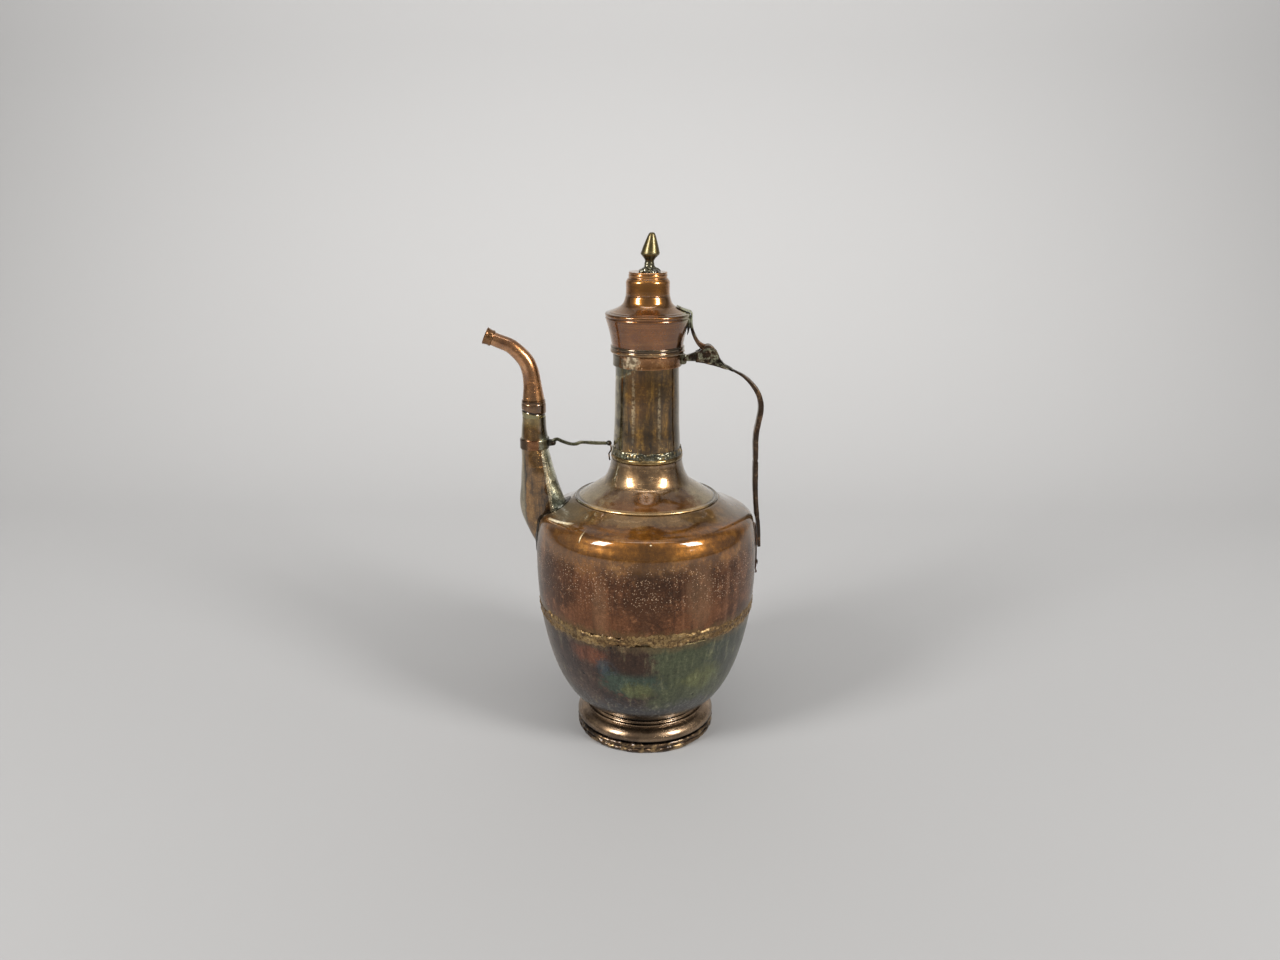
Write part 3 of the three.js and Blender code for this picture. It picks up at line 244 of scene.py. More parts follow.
def flow(points, count):
    """A smooth line through points, sampled at equal steps of its length. Each stretch is a cubic
    whose slope at a point is half the way from the point before to the point after."""
    points = np.asarray(points, float)
    padded = np.vstack([2 * points[0] - points[1], points, 2 * points[-1] - points[-2]])
    steps = np.linspace(0, len(points) - 1, 24 * len(points))
    first = np.minimum(steps.astype(int), len(points) - 2)
    t = (steps - first)[:, None]
    a, b, c, d = (padded[first + k] for k in range(4))
    line = 0.5 * (2 * b + (c - a) * t + (2 * a - 5 * b + 4 * c - d) * t**2 + (3 * b - a - 3 * c + d) * t**3)
    length = np.concatenate([[0], np.cumsum(np.linalg.norm(np.diff(line, axis=0), axis=1))])
    even = np.linspace(0, length[-1], count)
    return np.stack([np.interp(even, length, column) for column in line.T], 1)


def turns(count):
    """Even turns all the way round."""
    return np.linspace(0, TAU, count, endpoint=False)


def circled(radius, turn, level, x=0, flat=1):
    """Points on circles about an upright axis, squeezed in y by the flat share."""
    return np.stack([x + radius * np.cos(turn), radius * flat * np.sin(turn), level + 0 * turn], -1)


def turned(profile, columns):
    """Grid of (radius, height) points carried round the jug's axis."""
    radius, height = np.asarray(profile, float).T[..., None]
    return circled(radius, turns(columns), height)


def far_out(grid):
    """Distance of each point from the jug's axis: the root of x squared plus y squared."""
    return np.hypot(grid[..., 0], grid[..., 1])


def lumps(points, size, seed):
    """Smooth noise from -1 to 1: random values on a cubic lattice with cells of the given size,
    blended by smooth shares between the eight corners round each point."""
    cell = np.asarray(points) / size
    base = np.floor(cell).astype(np.int64)
    share = (cell - base)**2 * (3 - 2 * (cell - base))
    total = np.zeros(cell.shape[:-1])
    for corner in np.ndindex(2, 2, 2):
        weight = np.prod(np.where(corner, share, 1 - share), axis=-1)
        x, y, z = np.moveaxis(base + corner, -1, 0)
        key = (x * 73856093) ^ (y * 19349663) ^ (z * 83492791) ^ (seed * 26544357)
        key = ((key ^ (key >> 13)) * 1274126177) & 0xFFFFFFFF
        total += weight * (((key ^ (key >> 16)) & 0xFFFF) / 32767.5 - 1)
    return total


def unit(ways):
    """Directions brought to a length of 1."""
    return ways / np.maximum(np.linalg.norm(ways, axis=-1, keepdims=True), 1e-9)


def outward(grid, loop=True):
    """Unit normals of a grid that is closed round its columns."""
    across = np.roll(grid, -1, 1) - np.roll(grid, 1, 1)
    along = np.roll(grid, -1, 0) - np.roll(grid, 1, 0) if loop else np.gradient(grid, axis=0)
    return unit(np.cross(across, along))


def beaten(grid, *passes, loop=True):
    """The grid with its skin moved in and out by noise, once for each size, depth and seed."""
    for size, depth, seed in passes:
        grid = grid + outward(grid, loop) * (lumps(grid, size, seed) * depth)[..., None]
    return grid


def ring(points):
    """The skin of a grid whose last row joins its first."""
    return skin(points, loop=True)


def piece(name, skins, body, slot, material, *nodes):
    """An object in metres in the frame from skins in millimetres from the jug's axis. It rides on
    its body and stands for its CAD nodes."""
    placed = [(points * MM + (AXIS_X, 0, 0), faces) for points, faces in skins]
    made = meshed(name, placed, material)
    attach(made, body)
    if nodes:
        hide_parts(*nodes)
    return made


class Metal(Finish):
    """Old copper or brass: clouds of a deep and a main tone, rubbed bright flecks, green dirt in
    the hollows, hairline scratches and a fine grain. A piece adds what it has of its own."""

    def __init__(self, name, deep, tone, bright, green=0.68, rough=0.27, grain=0.1, dent=0.5):
        super().__init__(name)
        place = self.node("TexCoord", out="Object")
        self.at = self.node("Mapping", {}, {"Vector": place, "Location": (-AXIS_X, 0, 0)})
        self.place = self.node("SeparateXYZ", {}, {0: self.at})
        self.turn = self.place.math("ARCTAN2", self.place, self.place.out(1) * -1) * (360 / TAU)
        self.up = self.place.out(2) * (1 / MM)
        self.across = self.place * (1 / MM)
        self.cloud = self.noise(30, 6, 0.62)
        self.fray = self.noise(120, 5, 0.7)
        self.fleck = self.noise(420, 3, 0.7)
        self.colour = self.mix(self.cloud.rise(0.38, 0.62), deep, tone)
        self.tint((self.fray + self.fleck).rise(1.02, 1.4) * 0.8, bright)
        green = self.noise(55, 9, 0.66).rise(green, green + 0.1)
        self.tint(green * 0.75, (160, 200, 130))
        self.shine = 1 - green * 0.6
        hair = abs(self.streaks(30, 150, 3, 0.5, 1.5) - 0.5).rise(0.008, 0.001) * self.cloud.rise(0.42, 0.6)
        self.rough = rough + (self.noise(75, 4, 0.7) - 0.5) * 0.3 + green * 0.25 + hair * 0.1
        self.height = self.noise(85, 2, 0.5) * dent + self.fleck * grain - hair * 0.12

    def noise(self, scale, detail=3, rough=0.6, twist=0, at=None):
        return self.node("TexNoise", {}, {"Vector": at or self.at, "Scale": scale, "Detail": detail,
                                          "Roughness": rough, "Distortion": twist})

    def streaks(self, across, up, *noise):
        """Noise of one scale across the piece and another upwards."""
        drawn = self.node("Mapping", {}, {"Vector": self.at, "Scale": (across, across, up)})
        return self.noise(1, *noise, at=drawn)

    def dots(self, scale):
        """Distance to the nearest of many scattered points, with their random colours as out(1)."""
        return self.node("TexVoronoi", {}, {"Vector": self.at, "Scale": scale})

    def torn(self, cloud, fray=0):
        """Uneven steps to and fro that tear the edge of a mask: wide ones and fine ones."""
        return (self.cloud - 0.5) * cloud + (self.fray - 0.5) * fray

    def tint(self, share, colour):
        self.colour = self.mix(share, self.colour, colour)

    def veil(self, share, wave, first, second):
        """Tints with two colours, the second where the wave is 1."""
        self.tint(share, self.mix(wave, first, second))

    def patch(self, share, colour, *oval):
        """Tints an oval on the wall."""
        self.tint(self.spot(*oval) * share, colour)

    def mottle(self, wave, gain):
        """Makes the colour lighter where the wave is above a half, and darker where it is below."""
        self.colour = self.mix(1, self.colour, (wave - 0.5) * gain + 1, "MULTIPLY")

    def dull(self, share, rough, shine):
        """Takes the gloss and the metal down where the share is 1."""
        self.rough += share * rough
        self.shine -= share * shine

    def spot(self, degrees, height, half_degrees, half_height, ragged=1.2):
        """1 in an oval on the wall at an angle from the front and a height, with a frayed edge."""
        across = (self.turn - degrees) / half_degrees
        along = (self.up - height) / half_height
        torn = self.torn(1, 1.6) + (self.fleck - 0.5) * 1.2
        return ((across * across + along * along) ** 0.5 + torn * ragged).rise(1.45, 0.6)

    def done(self, coat=0.8, coat_rough=0.08, relief=0.25, grit=1.3):
        """The finest grain goes over every tint. The coat is the wax and grime of old handling."""
        self.mottle(self.noise(1300, 2), grit)
        bump = self.node("Bump", {}, {"Strength": 1, "Distance": relief * MM, "Height": self.height})
        shader = self.node("BsdfPrincipled", {}, {
            "Base Color": self.colour, "Metallic": self.shine, "Roughness": self.rough,
            "Coat Weight": coat, "Coat Roughness": coat_rough, "Coat IOR": 1.7,
            "Coat Tint": (1, 0.89, 0.7, 1), "Normal": bump})
        self.node("OutputMaterial", {}, {"Surface": shader})
        return self.material


crease = 0.46 * rim_h
rim_line = flow([
    (-RIM_W, 0.6), (0.8 - RIM_W, 0), (-1.7, 0), (-0.6, 1.2), (-0.1, 2.6), (-0.3, 3.6), (-1.1, crease),
    (-0.4, crease + 0.8), (-0.2, 6.6), (-0.9, 8), (-2.4, 8.9), (-3.2, 9.6), (-RIM_W, 9.4), (-RIM_W, 5),
    (-RIM_W, 0.6)], 80)[:-1] + (rim_r, 0)
rim_grid = turned(rim_line, 480)
rim_round = turned([(rim_r, 0)], 480)[0]
wander = lumps(rim_round, 14, 3) + 0.5 * lumps(rim_round, 5, 4)
rim_grid[..., 2] += 1.3 * wander * np.exp(-((rim_grid[..., 2] - crease) / 2.4)**2)
kinks = 0.5 + 0.5 * lumps(rim_round, 21, 7)
rim_grid[..., :2] *= (1 - 1.1 * kinks**2 / rim_r)[..., None]
rim_grid = beaten(rim_grid, (4.2, RIM_LUMP, 5), (1.6, RIM_LUMP / 3, 6))
rim_grid[..., :2] *= np.minimum(1, rim_r / far_out(rim_grid))[..., None]
rim_grid[..., 2] = np.clip(rim_grid[..., 2], 0, rim_h + 0.2)

rim = Metal("beaten_rim", (50, 30, 18), (170, 110, 65), (460, 330, 190), 0.72, 0.34, 0.3)
# Painted shade: the crease round the roll is darkened nearly to black.
rim.tint(abs(rim.up - crease + rim.torn(0, 4)).rise(1, 0.2), (20, 12, 8))
rim.tint(rim.fray.rise(0.5, 0.64) * 0.6, (620, 430, 220))
# Painted shade: the top of the roll, tucked under the foot ring's flare, is darkened.
rim.tint(rim.up.rise(7.4, 8.6), (15, 10, 8))
piece("foot_rim_roll", [ring(rim_grid)], "jug", "dark_bronze", rim.done(0.3), "foot_rim")

# Foot ring: spun sheet that swells out to the rim, with two fine beads under its narrow neck,
# and a flange that is brazed flat under the bowl.
SHEET = 1.2
foot_top = extent("foot_ring")


def sheet(line, thickness=SHEET, thin=3):
    """Closed profile of a sheet whose outside follows a line walked upwards. The inside is moved
    across by the thickness, with every few points kept."""
    along = np.gradient(line, axis=0)
    inside = (line + unit(along[:, ::-1] * (-1, 1)) * thickness)[::-1]
    return np.concatenate([line, inside[:-1:thin], inside[-1:]])


ring_line = np.concatenate([
    flow([(57.6, 10.1), (58.55, 10.6), (58.75, 11.5), (58.5, 13.2), (57.7, 15), (56.3, 16.8), (54.4, 18.3),
          (52.6, 19.3), (51.6, 20)], 28),
    flow([(51.75, 20.4), (52, 21), (51.7, 21.8), (50.8, 22.1)], 9),
    flow([(50, 22.4), (49.6, 22.9), (49.8, 23.6), (49.5, 24.3), (48.6, 24.6)], 10),
    flow([(48.1, 25.2), (47.9, 26.4), (48, foot_top - 0.3), (47.6, foot_top)], 8),
    [(41, foot_top)]])
ring_grid = turned(sheet(ring_line), 256)
foot = Metal("spun_foot", (150, 100, 66), (320, 225, 150), (480, 360, 250), 0.76, 0.27, 0.04, 0.2)
# Painted shade: the neck under the bowl and the band tucked behind the rim roll are darkened.
foot.tint(foot.up.rise(24.4, 25.2), (15, 10, 8))
foot.tint(foot.up.rise(12, 10.6) * 0.85, (30, 20, 14))
foot.tint(foot.streaks(20, 500, 3).rise(0.5, 0.7) * 0.3, (400, 290, 180))
piece("foot_ring_spun", [ring(ring_grid)],
      "jug", "gold_copper", foot.done(0.55, 0.12, grit=0.7), "foot_ring")

# Bowl: the lower half of the body, beaten up from one disc of copper. Its rim is set in, so that
# it laps inside the wall above. Brazing heat has tinted it red, blue, green and violet.
BOWL_FLAT_R = 49
BOWL_FULLNESS = 1.086
LAP_H = 7
LAP_GAP = 0.3
BODY_COLUMNS = 320
body_r = extent("upper_body", 1)
BELLY_Z = foot_top + 124


def levels(node):
    """Bottom and top of a CAD node's box."""
    return extent(node, end=0), extent(node)


seam_low, seam_high = levels("braze_seam")


def bowl_line(low, high, count):
    """The bowl's outline between two levels: the height rises as one less the cosine of an angle,
    and the radius as its sine to the power of the fullness."""
    turn = np.linspace(*(math.acos(1 - (z - foot_top) / (BELLY_Z - foot_top)) for z in (low, high)), count)
    radius = BOWL_FLAT_R + (body_r - BOWL_FLAT_R) * np.sin(turn)**BOWL_FULLNESS
    return np.stack([radius, foot_top + (BELLY_Z - foot_top) * (1 - np.cos(turn))], 1)


def hand_made(grid, depth, seed):
    """The grid moved towards the axis by long shallow dents, the same on both skins of a sheet."""
    far = far_out(grid)
    hollow = 0.5 + 0.32 * lumps(grid, 42, seed) + 0.18 * lumps(grid, 15, seed + 1)
    scale = 1 - depth * hollow * np.minimum(far / 30, 1) / np.maximum(far, 1)
    return grid * np.stack([scale, scale, np.ones_like(scale)], -1)


bowl_out = bowl_line(foot_top, seam_low, 110)
lap_out = bowl_line(seam_low, seam_high + LAP_H, 8) - (SHEET + LAP_GAP, 0)
bowl_profile = sheet(np.concatenate([[(1.2, foot_top)], bowl_out[:-1], lap_out]))
bowl_profile = np.concatenate([[(0, foot_top)], bowl_profile[:-1], [(0, foot_top + SHEET)]])
bowl_grid = hand_made(turned(bowl_profile, BODY_COLUMNS), 0.35, 11)

bowl = Metal("heat_tinted_bowl", (42, 26, 23), (90, 56, 48), (180, 115, 80), 0.74, 0.3, 0.07)
drips = bowl.streaks(190, 24, 5, 0.7)
green_side = (bowl.turn + bowl.torn(60, 20)).rise(-6, 14) * bowl.turn.rise(178, 130)
bowl.tint(green_side * 0.9, (84, 108, 58))
for patch in (
        (0.85, (50, 62, 56), 60, 92, 22, 34), (0.85, (240, 90, 50), -32, 99, 11, 9),
        (0.85, (45, 26, 26), -57, 90, 16, 26), (0.8, (65, 100, 130), -21, 88, 6, 9),
        (1, (75, 115, 90), -9, 76, 16, 11), (0.65, (200, 215, 85), -4, 70, 8, 7),
        (0.7, (160, 180, 70), 33, 77, 12, 10), (0.92, (65, 34, 22), -7, 98, 12, 12, 0.7),
        (0.7, (170, 90, 60), -120, 85, 50, 30), (0.7, (160, 110, 65), 150, 80, 40, 34)):
    bowl.patch(*patch)
low_zone = (bowl.up + bowl.torn(40, 12)).rise(62, 46)
bowl.tint(low_zone * 0.85, (58, 62, 78))
bowl.tint(low_zone * bowl.fleck.rise(0.54, 0.66) * 0.5, (300, 300, 290))
bowl.tint(drips.rise(0.54, 0.7) * 0.4, (230, 220, 130))
bowl.tint((bowl.up + bowl.torn(0, 18)).rise(105, 112) * 0.6, (170, 115, 55))
# Painted dark reflection: the underside of the bowl just above the foot is darkened.
bowl.tint((bowl.up + bowl.torn(0, 10)).rise(36, 31), (20, 14, 12))
bowl.mottle(drips, 2.2)
bowl.mottle(bowl.fleck, 1.6)
pits = bowl.dots(62)
pit = (pits + bowl.torn(0, 0.1)).rise(0.1, 0.05) * pits.out(1).rise(0.52, 0.56)
bowl.tint(pit, (12, 8, 6))
bowl.dull(green_side * bowl.up.rise(120, 100), 0.08, 0.25)
bowl.height -= pit * 0.6
piece("bowl", [skin(bowl_grid)], "jug", "copper", bowl.done(0.4, 0.1), "lower_bowl")

# Upper wall: a sheet that is beaten in over the corner to the shoulder, which hollows up to the
# disc. The shoulder has sunk a little at the back, and its corner is rubbed to a golden amber.
CORNER_Z, CORNER_R = BELLY_Z + 35.4, body_r - 2.6
SLOPE_Z, SLOPE_R = CORNER_Z + 8, CORNER_R - 8.5
disc_r = extent("neck_cone", 1)
disc_z = extent("neck_cone", end=0)
LIP_R = disc_r + SHEET
TIP_H = 2.6
PRESSED_Z, PRESSED_H, PRESSED_DEEP = 193, 5.5, 1.5
AMBER_Z = (163, 182)
DULL_Z = (202.2, 204.4)
SPOUT_SIDE = -66


def smooth(value, low, high):
    """0 below low and 1 above high, with a smooth step between."""
    share = np.clip((value - low) / (high - low), 0, 1)
    return share * share * (3 - 2 * share)


def sunk(grid):
    """The grid with the shoulder's plane tipped: heights grow towards the front and shrink towards
    the back in proportion to y, by a share that fades down the wall and up the cone."""
    tip = -TIP_H * grid[..., 1] / disc_r * smooth(grid[..., 2], 166, 187) * smooth(far_out(grid), 29, 50)
    return grid + tip[..., None] * (0, 0, 1)


def bow(start, pull, end, count):
    """A curve from one point to another that leans towards a third."""
    t = np.linspace(0, 1, count)[:, None]
    return (1 - t)**2 * np.array(start) + 2 * t * (1 - t) * np.array(pull) + t**2 * np.array(end)


shoulder_pull = ((SLOPE_R + LIP_R) / 2, (SLOPE_Z + disc_z) / 2 - 2.4)
wall_line = flow(np.concatenate([
    bowl_line(seam_high, BELLY_Z, 5),
    bow((body_r, BELLY_Z), (body_r, BELLY_Z + 23.8), (CORNER_R, CORNER_Z), 5)[1:],
    bow((CORNER_R, CORNER_Z), (CORNER_R - 0.9, CORNER_Z + 5.6), (SLOPE_R, SLOPE_Z), 5)[1:],
    bow((SLOPE_R, SLOPE_Z), shoulder_pull, (LIP_R, disc_z), 5)[1:]]), 150)
wall_line[:, 0] = np.minimum(wall_line[:, 0], body_r)
wall_profile = sheet(np.concatenate([wall_line, [(LIP_R - 0.8, disc_z), (disc_r - 6.6, disc_z)]]))
wall_grid = sunk(hand_made(turned(wall_profile, BODY_COLUMNS), 0.35, 11))
wall_far = far_out(wall_grid)
pressed = PRESSED_DEEP * np.exp(-((wall_grid[..., 2] - PRESSED_Z) / PRESSED_H)**2) * smooth(wall_far, 70, 80)
pressed *= smooth(-wall_grid[..., 1] / wall_far, 0.35, 0.85)
wall_grid[..., :2] *= (1 - pressed / wall_far)[..., None]

wall = Metal("golden_wall", (100, 42, 20), (240, 100, 46), (420, 200, 100), 0.78, 0.3, 0.08)
sagging = wall.turn * wall.turn * 0.0012 * abs(wall.turn).rise(100, 80)
streak = wall.streaks(130, 15, 5, 0.65)
amber_low = (wall.up - sagging + wall.torn(24, 12)).rise(*AMBER_Z)
wall.tint(streak.rise(0.52, 0.72) * 0.4, (400, 210, 120))
wall.tint(streak.rise(0.46, 0.32) * 0.55, (90, 42, 24))
# Painted dark reflection: an oval at the front of the wall, facing the dim camera side, is darkened.
wall.patch(0.65, (60, 27, 14), 1, 150, 13, 28, 0.8)
# Painted reflections: two pale upright streaks where the softboxes shine on the wall.
wall.patch(0.4, (400, 220, 120), -23, 140, 4, 24, 0.8)
wall.patch(0.4, (400, 230, 130), 27, 150, 6, 26, 0.8)
wall.veil(amber_low * 0.92, (wall.cloud + wall.torn(0, 0.4)).rise(0.36, 0.6), (120, 47, 3), (300, 125, 10))
# Painted shade: a dark oval on the left of the amber band.
wall.patch(0.6, (120, 55, 14), -46, 187, 17, 15, 0.8)
wall.patch(0.55, (170, 72, 4), 2, 184, 24, 9, 0.8)
wall.tint(wall.fray.rise(0.54, 0.7) * amber_low * 0.4, (360, 210, 65))
top_edge = wall.up + sagging + wall.torn(7, 3)
duller = top_edge.rise(*DULL_Z)
wall.veil(duller * 0.9, (wall.cloud + wall.torn(0, 0.5)).rise(0.4, 0.6), (110, 68, 28), (190, 120, 50))
wall.tint(abs(top_edge - 202.7).rise(1.1, 0.2) * 0.6, (70, 34, 12))
# Painted highlight: a pale line on the shoulder just under the disc's edge.
wall.tint(abs(top_edge - 206.6).rise(0.7, 0.1) * wall.cloud.rise(0.5, 0.6) * 0.5, (340, 250, 150))
# Painted shade: the wall is darkened towards its sides as seen from the front.
wall.tint(abs(wall.turn).rise(58, 80) * abs(wall.turn).rise(140, 110) * 0.65, (85, 60, 38))
wall.dull(duller, 0.05, 0.1)
wall.dull(amber_low, 0.08, 0.28)
by_spout = wall.spot(SPOUT_SIDE, DULL_Z[0] - 0.2, 20, 6, 0.7)
wall.tint(by_spout * 0.75, (75, 60, 36))
wall.dull(by_spout, 0.25, 0.5)
# Painted glints: tiny bright dots on the mid wall, each also raised a little in the bump.
glints = wall.dots(720)
glint_zone = wall.up.rise(138, 152) * (wall.up + wall.torn(30)).rise(184, 170)
glint_zone *= (wall.fray + wall.cloud).rise(0.7, 1.02)
glint = glints.rise(0.36, 0.12) * glints.out(1).rise(0.4, 0.6) * glint_zone
wall.tint(glint, (1000, 700, 480))
wall_pits = wall.dots(55)
wall_pit = wall_pits.rise(0.075, 0.04) * wall_pits.out(1).rise(0.58, 0.62)
wall.tint(wall_pit, (12, 8, 6))
wall.tint((wall.up + wall.torn(0, 18)).rise(128, 121) * 0.7, (200, 125, 55))
crease_line = abs(wall.up - 195.3 - (wall.turn + 71.6) * 0.154 + (wall.fleck - 0.5) * 0.8)
crease_glint = (crease_line.rise(0.7, 0.15) * wall.turn.rise(-72.5, -69) * wall.turn.rise(-48, -53)
        + wall.spot(-36.4, 194.6, 0.4, 3, 0.1) + wall.spot(1.9, 195.2, 0.5, 0.5, 0.1))
# Painted highlight: the crease by the spout and two small dents are tinted near white; the bump gives their
# real relief.
wall.tint(crease_glint, (1000, 900, 700))
wall.mottle(streak, 0.9)
wall.mottle(wall.fleck, 0.9)
wall.height += glint * 0.5 - wall_pit * 0.7 + crease_glint * 1.5
wall_metal = wall.done((amber_low * 0.75 + 0.25) * (1 - by_spout * 0.85), 0.07)
piece("upper_wall", [ring(wall_grid)], "jug", "gold_copper", wall_metal, "upper_body")

# Braze: the golden metal that ran into the joint of the two halves and was left as a ragged,
# pitted double ridge round the body.
BRAZE_COLUMNS = 900
BRAZE_HALF = 4.9
BRAZE_PROUD = 0.85
body_line = np.concatenate([bowl_line(foot_top, seam_high, 80)[:-1], wall_line])


def wall_radius(level):
    """Radius of the body's outside at a level."""
    return np.interp(level, body_line[:, 1], body_line[:, 0])


around = turned([(body_r, 0)], BRAZE_COLUMNS)[0]
angle = turns(BRAZE_COLUMNS)
braze_mid = (seam_low + seam_high) / 2 + 1.3 * np.cos(angle)
braze_mid += 1.9 * lumps(around, 46, 21) + 0.9 * lumps(around, 9, 22)
braze_half = BRAZE_HALF + 1.3 * lumps(around, 24, 27)
braze_half += 0.9 * lumps(around, 7, 23) + 1.2 * lumps(around, 2.4, 24)
across = np.linspace(-1, 1, 27)[:, None]
braze_z = braze_mid + across * braze_half
braze_at = circled(body_r + 0 * braze_z, angle, braze_z)
ridge = 0.2 + 0.8 * np.sin(2.4 * np.abs(across + 0.25 * lumps(braze_at, 11, 28)) + 0.25)**2
grainy = 0.7 + 0.6 * lumps(braze_at, 2.4, 25) + 0.4 * lumps(braze_at, 1, 26)
rise = BRAZE_PROUD * np.clip(1.15 - across**6 * 1.4, -0.4, 1) * ridge * grainy - 0.1
braze_far = np.concatenate([wall_radius(braze_z) + rise, wall_radius(braze_z[::-8]) - SHEET * 0.9])
braze_level = np.concatenate([braze_z, braze_z[::-8]])
braze_grid = circled(braze_far, angle, braze_level)

braze = Metal("golden_braze", (240, 150, 68), (430, 290, 130), (720, 540, 310), 0.7, 0.5, 0.5)
braze.tint(braze.noise(520, 3, 0.7).rise(0.5, 0.36) * 0.8, (70, 40, 20))
braze.tint(braze.noise(190, 3, 0.7).rise(0.52, 0.36) * 0.85, (120, 68, 35))
braze.tint(braze.cloud.rise(0.54, 0.66) * 0.5, (100, 70, 40))
piece("braze_run", [ring(braze_grid)], "jug", "braze", braze.done(0.1), "braze_seam")

# Disc and cone: one spun piece that is seated on the shoulder with a turned edge and
# sweeps up to hold the neck. The edge is painted bright at the front and dark at the sides, as highlight and
# shade.
cone_top = extent("neck_cone")
cone_line = np.concatenate([
    flow([(-0.7, 0), (0, 0.5), (0, 1.2), (-0.7, 1.9), (-1.7, 1.9), (-2.3, 1.6)], 16) + (disc_r, disc_z),
    flow([(disc_r - 2.9, disc_z + 1.7), (52, 209.9), (50, 211.2), (44.5, 214.7), (41, 216.9), (37.9, 218.9),
          (35.7, 220.6), (34.3, 222.3), (33.2, 224), (32.2, 225.8), (31.5, 227.5), (30.7, 229.6),
          (29.8, 232.8), (29.1, 236.3), (28.8, cone_top - 0.2)], 90)])
cone_grid = sunk(hand_made(turned(sheet(cone_line), 256), 0.25, 31))
cone = Metal("spun_cone", (210, 130, 75), (400, 265, 155), (620, 500, 360), 0.7, 0.26, 0.04, 0.3)
# The cone's sides, as seen from the front, are tinted pale low down and dark higher up: partly a tarnish
# film, partly a painted reflection of the pale backdrop.
side_film_and_sheen = (abs(cone.turn) + cone.torn(90, 40)).rise(26, 62)
cone.tint(side_film_and_sheen * cone.up.rise(232, 214) * 0.85, (260, 240, 175))
cone.tint(side_film_and_sheen * cone.up.rise(214, 230) * 0.75, (60, 55, 38))
cone.tint(cone.up.rise(222, 212) * (1 - side_film_and_sheen) * 0.85, (230, 92, 14))
cone.tint(cone.streaks(60, 260, 4, 0.7).rise(0.55, 0.72) * 0.4, (420, 300, 180))
north = cone.place.out(1) * (TIP_H / disc_r / MM)
# Painted highlight and shade: the turned edge is tinted bright at the front and dark at the sides.
edge = abs(cone.up - disc_z - 1.2 + north).rise(1.3, 0.6)
cone.tint(edge * abs(cone.turn).rise(66, 44) * 0.8, (620, 470, 270))
cone.tint(edge * abs(cone.turn).rise(44, 66) * 0.85, (35, 28, 18))
cone.mottle(cone.fray, 1.2)
cone.dull(side_film_and_sheen, 0.08, 0.2)
cone.dull(cone.up.rise(217, 211), 0.1, 0.05)
piece("disc_and_cone", [ring(cone_grid)], "jug", "gold_copper", cone.done(1, 0.07), "neck_cone")

# Bead and solder: a half-round golden bead lies on the cone, and over it the neck is fixed with
# a rough run of grey solder, with grains that shine.
bead_r = extent("neck_base_ring", 1)
bead_low, bead_high = levels("neck_base_ring")
solder_high = extent("neck_solder")
bead_line = flow([
    (27.5, bead_low), (28.3, bead_low), (bead_r - 0.25, bead_low + 0.7), (bead_r, bead_low + 1.8),
    (bead_r - 0.25, bead_high - 0.7), (28.3, bead_high), (27.5, bead_high)], 22)
bead_grid = beaten(turned(bead_line, 256), (6, 0.1, 41))
bead = Metal("golden_bead", (220, 150, 60), (480, 340, 150), (850, 700, 420), 0.7, 0.22)
bead.tint(abs(bead.turn).rise(60, 110) * 0.6, (130, 120, 80))
piece("neck_bead", [ring(bead_grid)], "jug", "olive_brass", bead.done(0.5), "neck_base_ring")

run_h = solder_high - bead_high
run_line = flow([(27.1, -0.1), (28.4, -0.1), (28.7, 1), (28.35, 2.4), (28.1, 3.8), (27.75, run_h - 0.6),
                 (27.1, run_h)], 34) + (0, bead_high)
run_grid = turned(run_line, 420)
run_grid[..., 2] += 0.9 * lumps(run_grid, 7, 42) * np.clip((run_grid[..., 2] - bead_high) / 5, 0, 1)
run_grid = beaten(run_grid, (3.2, 0.4, 43), (1.3, 0.28, 44))
solder = Metal("grey_solder", (90, 90, 62), (250, 240, 165), (800, 800, 680), 0.6, 0.3, 0.6)
solder.tint(solder.noise(160, 3, 0.6).rise(0.5, 0.62) * 0.7, (520, 360, 140))
solder.tint(solder.noise(380, 3, 0.6).rise(0.46, 0.34) * 0.8, (40, 45, 35))
piece("neck_solder_run", [ring(run_grid)], "jug", "solder", solder.done(0.5), "neck_solder")

# Neck: a long tube of brass sheet, rolled and a little uneven, with olive and gold stains that
# have run down it and a pale tide line under the collar. Its mouth has a small rolled lip.
TIDE_Z = 311.5
mouth_z = extent("neck_tube")
neck_line = flow([
    (27.3, cone_top - 5), (27.3, 243), (27.25, 249), (26.9, 258), (26.3, 268), (26.05, 278), (25.9, 288),
    (25.6, 298), (25.35, 307), (25.3, 315), (25.3, 326), (25.3, mouth_z - 1.5)], 90)
neck_line = np.concatenate([neck_line, [(25.75, mouth_z - 1.2), (26, mouth_z - 0.7), (25.75, mouth_z - 0.15),
                                        (25.3, mouth_z)]])
neck_grid = hand_made(turned(sheet(neck_line), 224), 0.5, 51)
neck = Metal("stained_neck", (110, 63, 16), (270, 150, 34), (420, 270, 80), 0.7, 0.22, 0.06, 1)
stain = neck.streaks(150, 24, 5, 0.68)
neck.tint(stain.rise(0.52, 0.68) * 0.85, (420, 235, 45))
neck.tint(stain.rise(0.48, 0.34) * 0.85, (45, 30, 16))
neck.patch(0.5, (330, 160, 40), -20, 296, 20, 20, 0.8)
